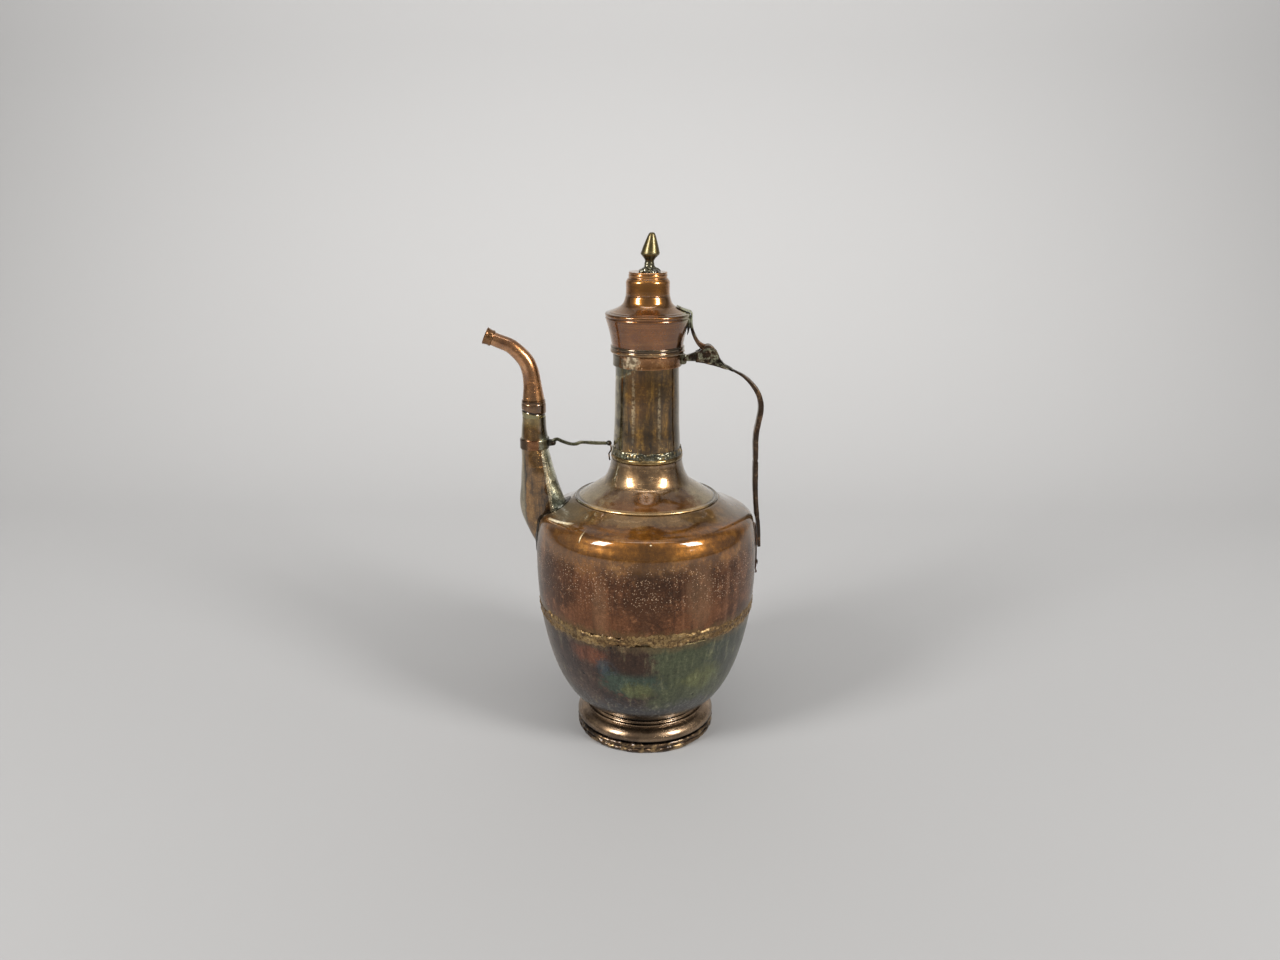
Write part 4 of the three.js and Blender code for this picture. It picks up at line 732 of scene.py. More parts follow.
# Painted reflection and shade: the neck's left side is veiled pale grey as the backdrop's reflection, and
# its right side is darkened.
left_edge = (neck.turn + neck.torn(0, 40)).rise(-32, -54) * neck.turn.rise(-176, -120)
right_edge = (neck.turn + neck.torn(0, 40)).rise(46, 66) * neck.turn.rise(176, 120)
neck.veil(left_edge * 0.8, neck.fray.rise(0.42, 0.58), (90, 88, 60), (300, 300, 230))
neck.tint(right_edge * 0.85, (45, 36, 16))
tide = neck.up - TIDE_Z - neck.turn.rise(-62, 8) * 4 + neck.turn.rise(-18, -62) * 5 + neck.torn(0, 4)
neck.tint(tide.rise(-0.6, 2.2) * 0.85, (70, 82, 58))
line = abs(tide + (neck.fleck - 0.5) * 3).rise(1.5, 0.2) * neck.turn.rise(30, 4)
neck.tint(line * neck.fray.rise(0.4, 0.55) * 0.7, (340, 370, 280))
neck.dull(tide.rise(-1, 1), 0.15, 0.3)
blisters = neck.noise(240, 4, 0.7).rise(0.56, 0.68) * neck.up.rise(262, 247)
neck.tint(blisters * 0.7, (550, 460, 240))
# Painted highlights: pale upright glints where the softboxes shine on the neck.
painted_glint = neck.spot(-25, 288, 3, 26, 0.8) * 0.6 + neck.spot(21, 276, 2.4, 22, 0.9) * 0.45
neck.tint(painted_glint * neck.fleck.rise(0.4, 0.56), (750, 640, 440))
neck.mottle(stain, 1.6)
neck.mottle(neck.fray, 1.6)
neck.mottle(neck.fleck, 1.2)
neck.height += blisters * 0.8
piece("neck", [ring(neck_grid)], "jug", "olive_brass", neck.done(0.8, 0.08), "neck_tube")

# Collar: a copper band round the top of the neck, closed by two ears on the handle's side. The
# tongue of the handle's head is riveted between the ears, and solder is smeared on the band.
EAR_IN, EAR_OUT = 2.3, 4.3
collar_low, collar_high = levels("neck_collar")
collar_r = extent("neck_collar", 1)
ear_end = extent("neck_collar", 0)


def upright(rows, across):
    """Rows of (x, z) points stood up at their places across, in y."""
    return np.stack([rows[..., 0], across + 0 * rows[..., 0], rows[..., 1]], -1)


def clockwise(line):
    """The outline turned clockwise, by the sign of the sum of its corners' cross products."""
    area = np.sum(line[:, 0] * np.roll(line[:, 1], -1) - np.roll(line[:, 0], -1) * line[:, 1])
    return line[::-1] if area > 0 else line


def slab(line, low, high, ease=0.35):
    """Rows of a plate with an outline in x and z between two y values. Its edges are rounded by
    quarter turns of a small radius."""
    line = clockwise(line)
    along = np.roll(line, -1, 0) - np.roll(line, 1, 0)
    inward = unit(along[:, ::-1] * (1, -1))
    turn = np.linspace(0, np.pi / 2, 4)
    inset = np.concatenate([1 - np.sin(turn), 1 - np.cos(turn)]) * ease
    level = np.concatenate([low + ease * (1 - np.cos(turn)), high - ease * (1 - np.sin(turn))])
    rows = line + inward * inset[:, None, None]
    return upright(rows, level[:, None])


band_line = flow([
    (25.6, collar_low), (26.9, collar_low), (collar_r, collar_low + 0.5), (collar_r - 0.12, collar_low + 3),
    (collar_r - 0.12, collar_high - 3), (collar_r, collar_high - 0.5), (26.9, collar_high),
    (25.6, collar_high)], 40)
band_grid = hand_made(turned(band_line, 224), 0.2, 61)
ear_line = np.concatenate([
    bow((collar_r - 0.8, collar_low + 0.8), (ear_end, collar_low + 0.2), (ear_end, collar_low + 2.9), 10),
    bow((ear_end, collar_high - 3.3), (ear_end, collar_high - 1), (collar_r - 0.8, collar_high - 1), 10)])


def ear_pair(line, near, far, ease=0.35):
    """Two plates with one outline, as far from the middle plane on the left as on the right."""
    return [skin(slab(line, *sides, ease), capped=True) for sides in ((-far, -near), (near, far))]


collar = Metal("collar_copper", (240, 110, 45), (460, 220, 85), (600, 360, 180), 0.68, 0.24, 0.06)
collar.tint((collar.turn + collar.torn(0, 30)).rise(-34, -52) * 0.85, (100, 110, 80))
smear = collar.spot(-27, 320.5, 15, 6, 1.6)
collar.veil(smear * 0.9, collar.noise(300, 3).rise(0.42, 0.6), (160, 120, 75), (660, 580, 430))
collar.tint(collar.turn.rise(62, 76) * 0.85, (120, 140, 100))
collar.dull(smear, 0.2, 0.3)
collar.height += smear * collar.noise(220, 3) * 1.5
piece("collar_band", [ring(band_grid), *ear_pair(ear_line, EAR_IN, EAR_OUT)],
      "jug", "copper", collar.done(0.5), "neck_collar")

# Collar rivet: a short brass pin through the ears and the tongue, hammered to two domes.
def arc(start, end, count):
    """Points of a circle with a radius of 1 between two turns."""
    turn = np.linspace(start, end, count)
    return np.stack([np.cos(turn), np.sin(turn)], 1)


def rivet(half, reach, shank_r, head_r):
    """Profile of a rivet: a shank with a domed head beyond each side of the stack it holds."""
    under = half + 0.12
    head = arc(0, np.pi / 2, 8) * (head_r, reach - under) + (0, under)
    side = np.concatenate([[(shank_r, 0), (shank_r, half), (head_r * 0.98, half)], head])
    return np.concatenate([side[::-1] * (1, -1), side[1:]])


def about_y(grid, x, z):
    """A turned grid with its axis laid along y, through a point in the middle plane."""
    return np.stack([grid[..., 0] + x, -grid[..., 2], grid[..., 1] + z], -1)


def middle(node):
    """Middle of a CAD node's box in millimetres from the jug's axis."""
    low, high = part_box(node)
    return ((low + high) / 2 - Vector((AXIS_X, 0, 0))) / MM


def dark_metal(name, green, extra=(320, 210, 120)):
    """Dark forged brass, nearly black in its hollows and rubbed brown on its crests."""
    return Metal(name, (22, 15, 10), (75, 46, 28), extra, green, 0.34, 0.25, 0.6)


dark_rivet = dark_metal("dark_rivet", 0.62).done(0.15)


def riveted(name, node, half, shank_r, head_r, columns=32):
    """A rivet along y at its CAD node, whose heads lie on a stack of a half width."""
    grid = turned(rivet(half + 0.1, extent(node, 1), shank_r, head_r), columns)
    laid = about_y(grid, middle(node).x, middle(node).z)
    piece(name, [skin(laid)], "jug", "dark_bronze", dark_rivet, node)


riveted("collar_rivet_domed", "collar_rivet", EAR_OUT, 0.9, 1.6)

# Lower spout: a flattened funnel of brass sheet, soldered over the hole in the shoulder. It
# narrows up to a round neck that carries the ferrule.
SPOUT_WALL = 1.3
SPOUT_ROOT_HALF = 12.5
ROUND_FROM_Z = 209
sleeve_low, sleeve_high = levels("spout_sleeve")
band_z = extent("spout_band", end=0)
spout_x = middle("spout_sleeve").x
SPIGOT_R = 8.3
# Level, half width and lean towards the body of the funnel, from the bottom up
funnel = flow([
    (148.4, 28, 40), (166, 26, 24.6), (180.4, 22.5, 14), (194.4, 19.8, 6.8), (206.4, 17.6, 4.3),
    (214.4, 15.9, 3.4), (228.4, 13.3, 1.9), (238.4, 11.8, 1), (band_z, 10.7, 0), (254.7, 10.55, 0),
    (261.4, 9.8, -0.2), (268, 9.35, 0), (sleeve_low, 9.2, 0)], 500)
SPOUT_COLUMNS = 160
spout_turn = turns(SPOUT_COLUMNS)


def funnel_point(level, grow):
    """Points round the funnel at each level, grown by a distance. The root is squeezed flat
    across the body, and becomes round by the band."""
    half = np.interp(level, funnel[:, 0], funnel[:, 1]) + grow
    lean = np.interp(level, funnel[:, 0], funnel[:, 2])
    flat = np.minimum((SPOUT_ROOT_HALF + grow) / half, 1)
    flat = flat + (1 - flat) * smooth(level, ROUND_FROM_Z, band_z)
    return circled(half, spout_turn, level, spout_x + lean, flat)


def meeting(grow, lift):
    """Level on each line of the grown funnel where it enters the body grown by the lift."""
    levels = np.linspace(sleeve_low, funnel[0, 0] + 0.5, 900)[:, None]
    place = funnel_point(levels, grow)
    outside = far_out(place) - wall_radius(levels) - lift
    first = np.maximum((outside < 0).argmax(0), 1)
    column = np.arange(SPOUT_COLUMNS)
    over, under = outside[first - 1, column], outside[first, column]
    return levels[first - 1, 0] + (levels[first, 0] - levels[first - 1, 0]) * over / (over - under)


root_out, root_in = meeting(0, -0.6), meeting(-SPOUT_WALL, -0.6)
rows = np.linspace(0, 1, 110)[:, None]
funnel_out = funnel_point(root_out + rows * (sleeve_low - root_out), 0)
funnel_in = funnel_point(root_in + rows[::4] * (sleeve_low - root_in), -SPOUT_WALL)
spigot_top = (sleeve_low + sleeve_high) / 2 - 0.2
funnel_out = beaten(funnel_out, (22, 0.4, 71), (7, 0.15, 72), loop=False)
spigot = [circled(radius, spout_turn, level, spout_x) for radius, level in (
    (SPIGOT_R, sleeve_low), (SPIGOT_R, spigot_top), (SPIGOT_R - SPOUT_WALL, spigot_top),
    (SPIGOT_R - SPOUT_WALL, sleeve_low))]
funnel_grid = np.concatenate([funnel_out, spigot, funnel_in[::-1]])
spout = Metal("olive_spout", (100, 60, 26), (320, 180, 66), (500, 330, 150), 0.7, 0.2, 0.06, 0.7)
runs = spout.streaks(160, 18, 5, 0.68)
spout.tint(runs.rise(0.52, 0.68) * 0.6, (330, 210, 90))
spout.tint(runs.rise(0.48, 0.34) * 0.7, (45, 32, 18))
seam_x = spout_x + 7.2 - (spout.up - 243) * 0.15 + spout.torn(0, 4)
# The funnel's side that faces the neck is veiled pale grey-green: partly its own tarnish, partly a painted
# reflection of the light on that glossy face.
neck_side = (spout.across - seam_x).rise(-1.5, 1.5) * spout.up.rise(262, 255)
spout.veil(neck_side * 0.85, spout.fray.rise(0.4, 0.6), (120, 165, 155), (440, 540, 540))
# Painted highlight: a near-white line along the fold, which the bump also raises.
fold_glint_line = abs(spout.across - seam_x).rise(1.7, 0.4) * spout.up.rise(250, 240)
spout.tint(fold_glint_line * spout.fray.rise(0.34, 0.5) * 0.9, (860, 860, 760))
spout.height += fold_glint_line * 1.5
dark_line = abs(spout.across - spout_x + 7.4 + spout.torn(9)).rise(1, 0.3)
spout.tint(dark_line * spout.up.rise(246, 240) * 0.8, (20, 17, 12))
# Painted reflection: a pale silvery strip along the funnel's left side.
left_rim_sheen = (spout.across + spout.torn(0, 4)).rise(spout_x - 6.5, spout_x - 10)
spout.tint(left_rim_sheen * 0.8, (460, 470, 420))
spout.tint(spout.up.rise(262, 270) * 0.5, (260, 260, 120))
spout.tint(spout.across.rise(spout_x + 4, spout_x + 7) * spout.up.rise(254, 257) * 0.8, (50, 50, 36))
spout.mottle(runs, 2)
spout.mottle(spout.fray, 1.4)
spout.dull(neck_side, 0.08, 0.2)
piece("spout_funnel", [ring(funnel_grid)], "jug", "olive_brass", spout.done(1, 0.08), "spout_lower")

# Spout flange: the dark strip of solder that fills the corner between the spout and the body.
strip_reach = 1 + 0.15 * smooth(np.cos(spout_turn), -0.5, 0.5)
strip = flow([(5, -0.8), (5.2, -0.1), (4.7, 0.45), (3.6, 0.75), (2.4, 0.85), (1.2, 0.9), (0.4, 1.05),
              (-0.4, 1.3), (-0.7, 0.4), (-0.6, -0.8)], 40)
strip_rows = [(grow * (strip_reach if grow > 0 else 1), lift) for grow, lift in strip]
strip_grid = np.stack([funnel_point(meeting(reach, lift), reach) for reach, lift in strip_rows])
strip_grid = beaten(sunk(strip_grid), (5, 0.3, 73), (2, 0.2, 74))
joint = Metal("joint_solder", (15, 12, 8), (45, 36, 24), (160, 140, 100), 0.6, 0.42, 0.25)
piece("spout_joint", [ring(strip_grid)], "jug", "dark_bronze", joint.done(0.2), "spout_flange")

# Ferrule: a short copper sleeve over the ends of the spout's two halves, with a slanting groove
# where it was burnished down, and a pale ring of solder below it.
SLEEVE_BORE = 8.6
GROOVE_SLANT = 1.9
sleeve_r = extent("spout_sleeve", 1)
groove_z = sleeve_low + 4.2 - GROOVE_SLANT * np.cos(spout_turn)
sleeve_level = np.linspace(sleeve_low, sleeve_high, 46)[:, None]
swell = sleeve_r - 0.45 * (np.abs(2 * (sleeve_level - sleeve_low) / (sleeve_high - sleeve_low) - 1))**3
dip = 0.75 * np.exp(-((sleeve_level - groove_z) / 0.75)**2) + 0.25 * smooth(groove_z - sleeve_level, 0, 2)
sleeve_far = swell - dip - 0.25 * np.exp(-((sleeve_level - sleeve_high + 2.2) / 0.35)**2)
bore = [circled(SLEEVE_BORE, spout_turn, level, spout_x) for level in (sleeve_high, sleeve_low)]
sleeve_grid = np.concatenate([circled(sleeve_far, spout_turn, sleeve_level, spout_x), bore])
ferrule = Metal("ferrule_copper", (100, 60, 34), (240, 135, 72), (500, 360, 220), 0.7, 0.2, 0.05, 0.3)
groove = ferrule.up - sleeve_low - 4.2 + (ferrule.across - spout_x) * (GROOVE_SLANT / sleeve_r)
ferrule.tint(groove.rise(-0.3, -1.2) * 0.85, (330, 330, 180))
# Painted shade: the slanting groove is darkened nearly to black.
ferrule.tint(abs(groove).rise(1.1, 0.3), (20, 14, 10))
piece("ferrule", [ring(sleeve_grid)], "jug", "copper", ferrule.done(0.8, 0.06), "spout_sleeve")

# Upper spout: a thin copper tube that stands in the ferrule and was bent over a filler to its
# mouth. It is soldered along a fine seam on its back.
SEAT_R, TIP_R = 8.9, 5.3
SPOUT_REACH, SPOUT_UPPER_H = 36.4, 51.3
RING_L = 6.4
bend_shares = np.array([
    (0, 0), (0.019, 0.273), (0.063, 0.474), (0.168, 0.639), (0.437, 0.828), (0.703, 0.912), (1, 1)])
bend_line = bend_shares * (-SPOUT_REACH, SPOUT_UPPER_H) + (spout_x, sleeve_high)
tube_path = flow([(spout_x, spigot_top + 0.4), *bend_line], 150)
tube_length = np.linalg.norm(np.diff(tube_path, axis=0), axis=1).sum()


def squarish(count, power):
    """Cosines and sines all the way round, both to a power."""
    return (np.sign(v) * np.abs(v)**power for v in (np.cos(turns(count)), np.sin(turns(count))))


def carried(path, thick, wide, columns, square=1, side=(0, 1, 0)):
    """Grid of an oval section carried along a path. Across the path, cosines give its thickness
    and sines its width, both to a power that is below 1 where the section is squarish."""
    path = np.asarray(path, float)
    path = np.insert(path, 1, 0, axis=1) if path.shape[1] == 2 else path
    way = unit(np.gradient(path, axis=0))
    sideways = unit(side - way * (way @ side)[:, None])
    over, along = squarish(columns, square)
    thick, wide = (np.broadcast_to(v, len(path))[:, None, None] / 2 for v in (thick, wide))
    rise, run = np.cross(sideways, way)[:, None], sideways[:, None]
    return path[:, None] + rise * over[:, None] * thick + run * along[:, None] * wide


seat = sleeve_high - spigot_top - 0.1
walked = np.linspace(0, tube_length, 150)
taper = flow([(0, 1), (0.09, 0.78), (0.2, 0.53), (0.33, 0.39), (0.47, 0.31), (0.75, 0.14), (1, 0.055)], 60)
share = np.clip((walked - seat) / (tube_length - RING_L - seat), 0, 1)
tube_r = TIP_R + (SEAT_R - TIP_R) * np.interp(share, taper[:, 0], taper[:, 1])
tube_r = np.where(walked < seat, SPIGOT_R, np.where(walked > tube_length - RING_L, TIP_R, tube_r))
tube_out = beaten(carried(tube_path, 2 * tube_r, 2 * tube_r, 96), (24, 0.12, 81), loop=False)
tube_in = carried(tube_path, 2 * (tube_r - SPOUT_WALL), 2 * (tube_r - SPOUT_WALL), 96)[::-3]
tube = Metal("spout_copper", (300, 140, 62), (560, 290, 140), (680, 440, 260), 0.8, 0.28, 0.03, 0.12)
tube.tint((tube.up + tube.cloud * 16).rise(306, 292) * 0.5, (260, 160, 70))
tube.tint(tube.noise(160, 5, 0.7).rise(0.5, 0.32) * 0.45, (160, 70, 30))
tube_grid = np.concatenate([tube_out, tube_in])
piece("spout_tube", [ring(tube_grid)], "jug", "copper", tube.done(1, 0.1), "spout_upper")

# Mouth ring: a short turned ring that stiffens the spout's mouth, with a fine dark joint.
RING_BORE = 5.6
ring_line = [(RING_BORE, 0), (6.15, 0), (6.4, 0.35), (6.4, 1.3), (6.22, 1.8), (6.2, 2.6), (6.35, 4),
             (6.6, 5.2), (6.9, 6.1), (6.8, 6.4), (6, 6.4), (RING_BORE, 6.1)]
mouth_way = unit(tube_path[-1] - tube_path[-8])
mouth_across = np.array([mouth_way[1], 0, -mouth_way[0]])
mouth_turn = turns(96)
mouth_far, mouth_level = np.array(ring_line).T[..., None]
mouth_centre = tube_path[-1] + (mouth_level - RING_L) * mouth_way
mouth_round = np.cos(mouth_turn)[:, None] * mouth_across + np.sin(mouth_turn)[:, None] * (0, 1, 0)
mouth_grid = np.insert(mouth_centre, 1, 0, axis=1)[:, None] + mouth_far[..., None] * mouth_round
mouth = Metal("mouth_copper", (140, 68, 30), (270, 135, 60), (500, 320, 170), 0.74, 0.24, 0.05, 0.3)
piece("mouth_ring", [ring(mouth_grid)], "jug", "gold_copper", mouth.done(0.25), "spout_tip_ring")

# Spout band: a copper strip pinched round the spout. Its two ears hold the eye of the stay, and a
# small rivet goes through all three.
BAND_T = 0.8
BAND_EAR = (1.4, 2.4)
band_low, band_high = levels("spout_band")
band_end = extent("spout_band", 0) - 1.1
BAND_BORE = extent("spout_band", 1) - BAND_T
band_h = band_high - band_low
band_section = flow([(-0.15, 0), (0.4, 0), (BAND_T, 0.5), (BAND_T - 0.1, band_h / 2), (BAND_T, band_h - 0.5),
                     (0.4, band_h), (-0.15, band_h)], 26) + (BAND_BORE, band_low)
band_grid = turned(band_section, 128)
band_grid[..., 2] += 0.35 * lumps(band_grid, 8, 91)
band_grid = beaten(band_grid + (spout_x, 0, 0), (5, 0.12, 92))
ear_x, ear_z = middle("spout_band_rivet").x, middle("spout_band_rivet").z
band_ear = np.concatenate([
    [(spout_x + BAND_BORE - 0.8, band_low + 1.2)],
    bow((ear_x - 1, ear_z - 2.1), (band_end, ear_z - 2.1), (band_end, ear_z), 8),
    bow((band_end, ear_z), (band_end, ear_z + 2.1), (ear_x - 1, ear_z + 2.1), 8)[1:],
    [(spout_x + BAND_BORE - 0.8, band_high - 1.2)]])
band = Metal("band_copper", (180, 80, 38), (360, 165, 75), (500, 300, 160), 0.7, 0.28, 0.08)
band.tint(band.across.rise(spout_x - 3, spout_x - 6) * 0.85, (70, 50, 32))
band.tint(band.across.rise(spout_x + 3.5, spout_x + 5.5) * 0.9, (260, 280, 210))
band.tint(band.across.rise(spout_x + 9.5, spout_x + 11) * 0.9, (40, 36, 26))
piece("spout_strap", [ring(band_grid), *ear_pair(band_ear, *BAND_EAR, 0.25)],
      "jug", "copper", band.done(0.2), "spout_band")
riveted("spout_strap_rivet", "spout_band_rivet", BAND_EAR[1], 0.8, 1.4)

# Stay: a rod beaten from thick wire, flattened to an eye at the spout and ending in a knob at
# the neck. A thin wire is hooked over the knob and twisted down round the bead.
STAY_R, STAY_EYE_R, STAY_EYE_T, KNOB_R = 1.35, 2.2, 2.2, 2.2
neck_solder_r = extent("neck_solder", 1)
knob_x, knob_z = -neck_solder_r - 0.3 - KNOB_R * 0.75, solder_high + 1.5
along, bent = np.array([
    (0, 0.9), (0.04, 1.9), (0.09, 2), (0.17, 0.74), (0.31, -0.72), (0.41, -0.7), (0.5, 0.3), (0.64, 0.2),
    (0.8, 0), (1, 0)]).T
stay_line = [ear_x + along * (knob_x - ear_x), ear_z + along * (knob_z - ear_z) + bent * STAY_R]
stay_path = flow(np.stack(stay_line, 1), 90)


def ended(grid):
    """The grid with a pole added at the middle of each end."""
    first, last = ([0 * row + row.mean(0)] for row in (grid[0], grid[-1]))
    return np.concatenate([first, grid, last])


stay_grid = beaten(ended(carried(stay_path, 2 * STAY_R, 2.1 * STAY_R, 24, 0.85)), (5, 0.16, 95), loop=False)
eye_line = [(0.9, -STAY_EYE_T / 2), (STAY_EYE_R - 0.3, -STAY_EYE_T / 2), (STAY_EYE_R, -STAY_EYE_T / 3),
            (STAY_EYE_R, STAY_EYE_T / 3), (STAY_EYE_R - 0.3, STAY_EYE_T / 2), (0.9, STAY_EYE_T / 2)]
eye_grid = about_y(turned(eye_line, 40), ear_x, ear_z)
knob_grid = turned(KNOB_R * arc(-np.pi / 2, np.pi / 2, 14), 28) + (knob_x, 0, knob_z)
knob_grid[[0, -1], :, :2] = (knob_x, 0)
stay = Metal("green_grey_stay", (70, 70, 42), (200, 195, 120), (500, 480, 340), 0.62, 0.3, 0.25)
stay.tint(stay.across.rise(knob_x - 3.2, knob_x - 1.6) * 0.85, (25, 22, 20))
knob_grid = beaten(knob_grid, (2, 0.15, 96), loop=False)
stay_skins = [skin(stay_grid), ring(eye_grid), skin(knob_grid)]
piece("stay", stay_skins, "jug", "dark_bronze", stay.done(0.15), "stay_rod")
HOOK_R = 0.6
out, turn, level = np.array([
    (HOOK_R * 2, 6.5, knob_z + 1), (HOOK_R, 11, knob_z - 0.6), (HOOK_R, 13, 247), (HOOK_R * 2, 10, 244.6),
    (1.9, 8, bead_high - 0.6), (1.9, 11, bead_low + 0.6), (1.9, 15, bead_low - 0.9)]).T
hook_line = flow(circled(neck_solder_r + 0.3 + out, np.radians(180 + turn), level), 60)
hook_grid = ended(carried(hook_line, 2 * HOOK_R, 2 * HOOK_R, 14, side=(-0.3, 1, 0)))
piece("stay_wire", [skin(hook_grid)], "jug", "dark_bronze", dark_rivet, "stay_hook")

# Handle strap: a flat bar forged from brass, thin where it leaves the head and thicker below. It
# swings out, bows in and lies along the wall down to a squared end.
BAR_T, BAR_HEAD_T = 4.2, 1.9
BAR_W, BAR_HEAD_W = 9, 5.5
PIN_X, PIN_Z = middle("hinge_pin").x, middle("hinge_pin").z
KNUCKLE_R, HEAD_L = 6.3, 19.9
NICK_Z, NICK_DEEP = 237, 0.45
bar_low_x = body_r + BAR_T / 2
bar_bend_x = bar_low_x - 2.2
bar_top_z, bar_end_z = PIN_Z - KNUCKLE_R * 1.75, BELLY_Z + 11
bar_shares = [(0.665, 0.051), (0.839, 0.1), (0.954, 0.155), (1, 0.22), (0.961, 0.3), (0.927, 0.372),
              (0.936, 0.49), (0.954, 0.66), (1, 0.81)]
bar_drop = bar_end_z - bar_top_z
bar_path = flow([
    (PIN_X + HEAD_L * 0.62, bar_top_z + BAR_HEAD_T), (PIN_X + HEAD_L, PIN_Z - KNUCKLE_R * 2.16),
    *((PIN_X + (bar_bend_x - PIN_X) * out, bar_top_z + bar_drop * down) for out, down in bar_shares),
    (bar_low_x - 0.55, bar_top_z + bar_drop * 0.93), (bar_low_x, bar_end_z)], 260)
grown = smooth(np.linspace(0, 1, 260), 0.02, 0.22)
bar_grid = carried(bar_path, BAR_HEAD_T + (BAR_T - BAR_HEAD_T) * grown,
                   BAR_HEAD_W + (BAR_W - BAR_HEAD_W) * grown, 40, 0.5)
bar_grid = beaten(bar_grid, (14, 0.3, 101), (4, 0.13, 102), loop=False)
nick = np.exp(-((bar_grid[..., 2] - NICK_Z) / 0.9)**2)
bar_grid -= outward(bar_grid, loop=False) * (NICK_DEEP * nick)[..., None]
bar_far = far_out(bar_grid)
clear_of_wall = np.where(bar_grid[..., 2] < disc_z, (wall_radius(bar_grid[..., 2]) + 1.65) / bar_far, 0)
bar_grid[..., :2] *= np.maximum(1, clear_of_wall)[..., None]
bar_grid[..., 0] = np.minimum(bar_grid[..., 0], bar_low_x + BAR_T / 2)
bar_grid[..., 2] = np.maximum(bar_grid[..., 2], bar_end_z)

# Handle head: a flat forging with a tongue for the collar, two cheeks and a slot between them for
# the lid's eye. The cheeks are hollowed inside a raised border and full of verdigris.
HEAD_HALF_W = 5.5
SLOT_HALF = 2.6
TONGUE_HALF = 2
tongue_end = collar_r + 0.3 - PIN_X
head_line = np.concatenate([
    bow((tongue_end, -7), (-9, -5.6), (0.6, -8.6), 12),
    bow((0.6, -8.6), (9, -10.6), (HEAD_L, -14.4), 12)[1:],
    bow((HEAD_L, -12.8), (11.9, -9.6), (9.35, -3.5), 12), bow((9.35, -3.5), (8.3, 1), (5.75, 2.57), 8)[1:-1],
    KNUCKLE_R * arc(0.42, 2.6, 18),
    bow((-5.4, 3.25), (-HEAD_L / 2, -0.5), (tongue_end, -2.7), 12)[1:]]) + (PIN_X, PIN_Z)
cheek_line = np.maximum(head_line, (PIN_X - 1.5 * KNUCKLE_R, 0))
heart = np.array([PIN_X + 0.5, PIN_Z - 2.2])


def cheek(line, low, high, dish):
    """A plate whose outer face sinks inside a raised border: rows shrink to the middle of each
    face, and the outer ones follow the depth of the dish."""
    shrink = np.array([0, 0.93, 0.985, 1, 1, 0.985, 0.95, 0.88, 0.82, 0.74, 0.6, 0.4, 0.2, 0])
    above = low + np.array([0, 0, 0.1, 0.4])
    below = high - np.concatenate([[0.6, 0.2, 0, 0.05], dish * np.array([0.45, 1, 1, 0.9, 0.8, 0.8])])
    rows = heart + (clockwise(line) - heart) * shrink[:, None, None]
    return upright(rows, np.concatenate([above, below])[:, None])


right_cheek = cheek(cheek_line, SLOT_HALF, HEAD_HALF_W, 0.9)
right_cheek = beaten(right_cheek, (4, 0.25, 103), (1.6, 0.12, 104), loop=False)
right_cheek[0], right_cheek[-1] = right_cheek[0].mean(0), right_cheek[-1].mean(0)
cheeks = [skin(right_cheek), skin(right_cheek[:, ::-1] * (1, -1, 1))]
web_line = np.concatenate([
    head_line[(head_line[:, 1] < PIN_Z - 2.9) & (head_line[:, 0] > PIN_X - 9)][:-1],
    (KNUCKLE_R + 0.7) * arc(-0.15, -np.pi + 0.15, 20) + (PIN_X, PIN_Z)])
web_grid = slab(web_line, -SLOT_HALF - 0.1, SLOT_HALF + 0.1, 0.2)
tongue_line = head_line[head_line[:, 0] < PIN_X - 7.2]
tongue_grid = slab(np.roll(tongue_line, 12, axis=0), -TONGUE_HALF, TONGUE_HALF, 0.4)
bar = dark_metal("forged_handle", 0.7, (360, 230, 130))
bar.tint(bar.fray.rise(0.55, 0.7) * 0.5, (240, 130, 70))
piece("handle_bar", [skin(ended(bar_grid))], "jug", "dark_bronze", bar.done(0.3), "handle")
head = dark_metal("verdigris_head", 0.6)
dished = (abs(head.place.out(1)) * (1 / MM)).rise(5.45, 5)
caked = dished * head.noise(230, 4, 0.7).rise(0.46, 0.58)
head.veil(caked * 0.9, head.fray.rise(0.4, 0.6), (80, 80, 50), (320, 320, 220))
head.dull(caked, 0.25, 0.6)
piece("handle_head", [*cheeks, skin(web_grid, capped=True), skin(tongue_grid, capped=True)],
      "jug", "dark_bronze", head.done(0.2))

# Tail plate: a thin leaf of sheet that lies on the wall under the strap's end, a little wavy, with
# one rivet that goes through the wall.
TAIL_W, TAIL_T = 11, 1
tail_low, tail_high = levels("handle_tail_plate")
leaf_z = np.linspace(tail_low, tail_high, 70)[:, None]
leaf_half = np.interp(leaf_z - tail_low, [0, 0.4, 1.2, 4, 10, 20, tail_high - tail_low],
                      [0.2, 1, 1.9, 2.7, 3.5, 5.5, TAIL_W / 2])
leaf_side, leaf_over = squarish(40, 0.4)
leaf_y = -leaf_half * leaf_side
leaf_wave = 0.55 * smooth(tail_low + 12 - leaf_z, 0, 12) * (1 + np.sin((leaf_z - tail_low) * 0.9))
leaf_far = wall_radius(leaf_z) + 0.85 + TAIL_T / 2 * leaf_over + leaf_wave
leaf_grid = np.stack([np.sqrt(leaf_far**2 - leaf_y**2), leaf_y, leaf_z + 0 * leaf_y], -1)
leaf_grid = beaten(leaf_grid, (6, 0.12, 111), loop=False)
leaf = Metal("tail_leaf", (80, 45, 28), (200, 100, 55), (400, 240, 140), 0.62, 0.38, 0.2)
piece("tail_leaf", [skin(leaf_grid, capped=True)], "jug", "copper", leaf.done(0.2), "handle_tail_plate")
tail_rivet = middle("handle_tail_rivet")
tail_end = extent("handle_tail_rivet", 0)
rivet_line = rivet((tail_end - tail_rivet.x) * 0.72, tail_end - tail_rivet.x, 1.2, 2.3)
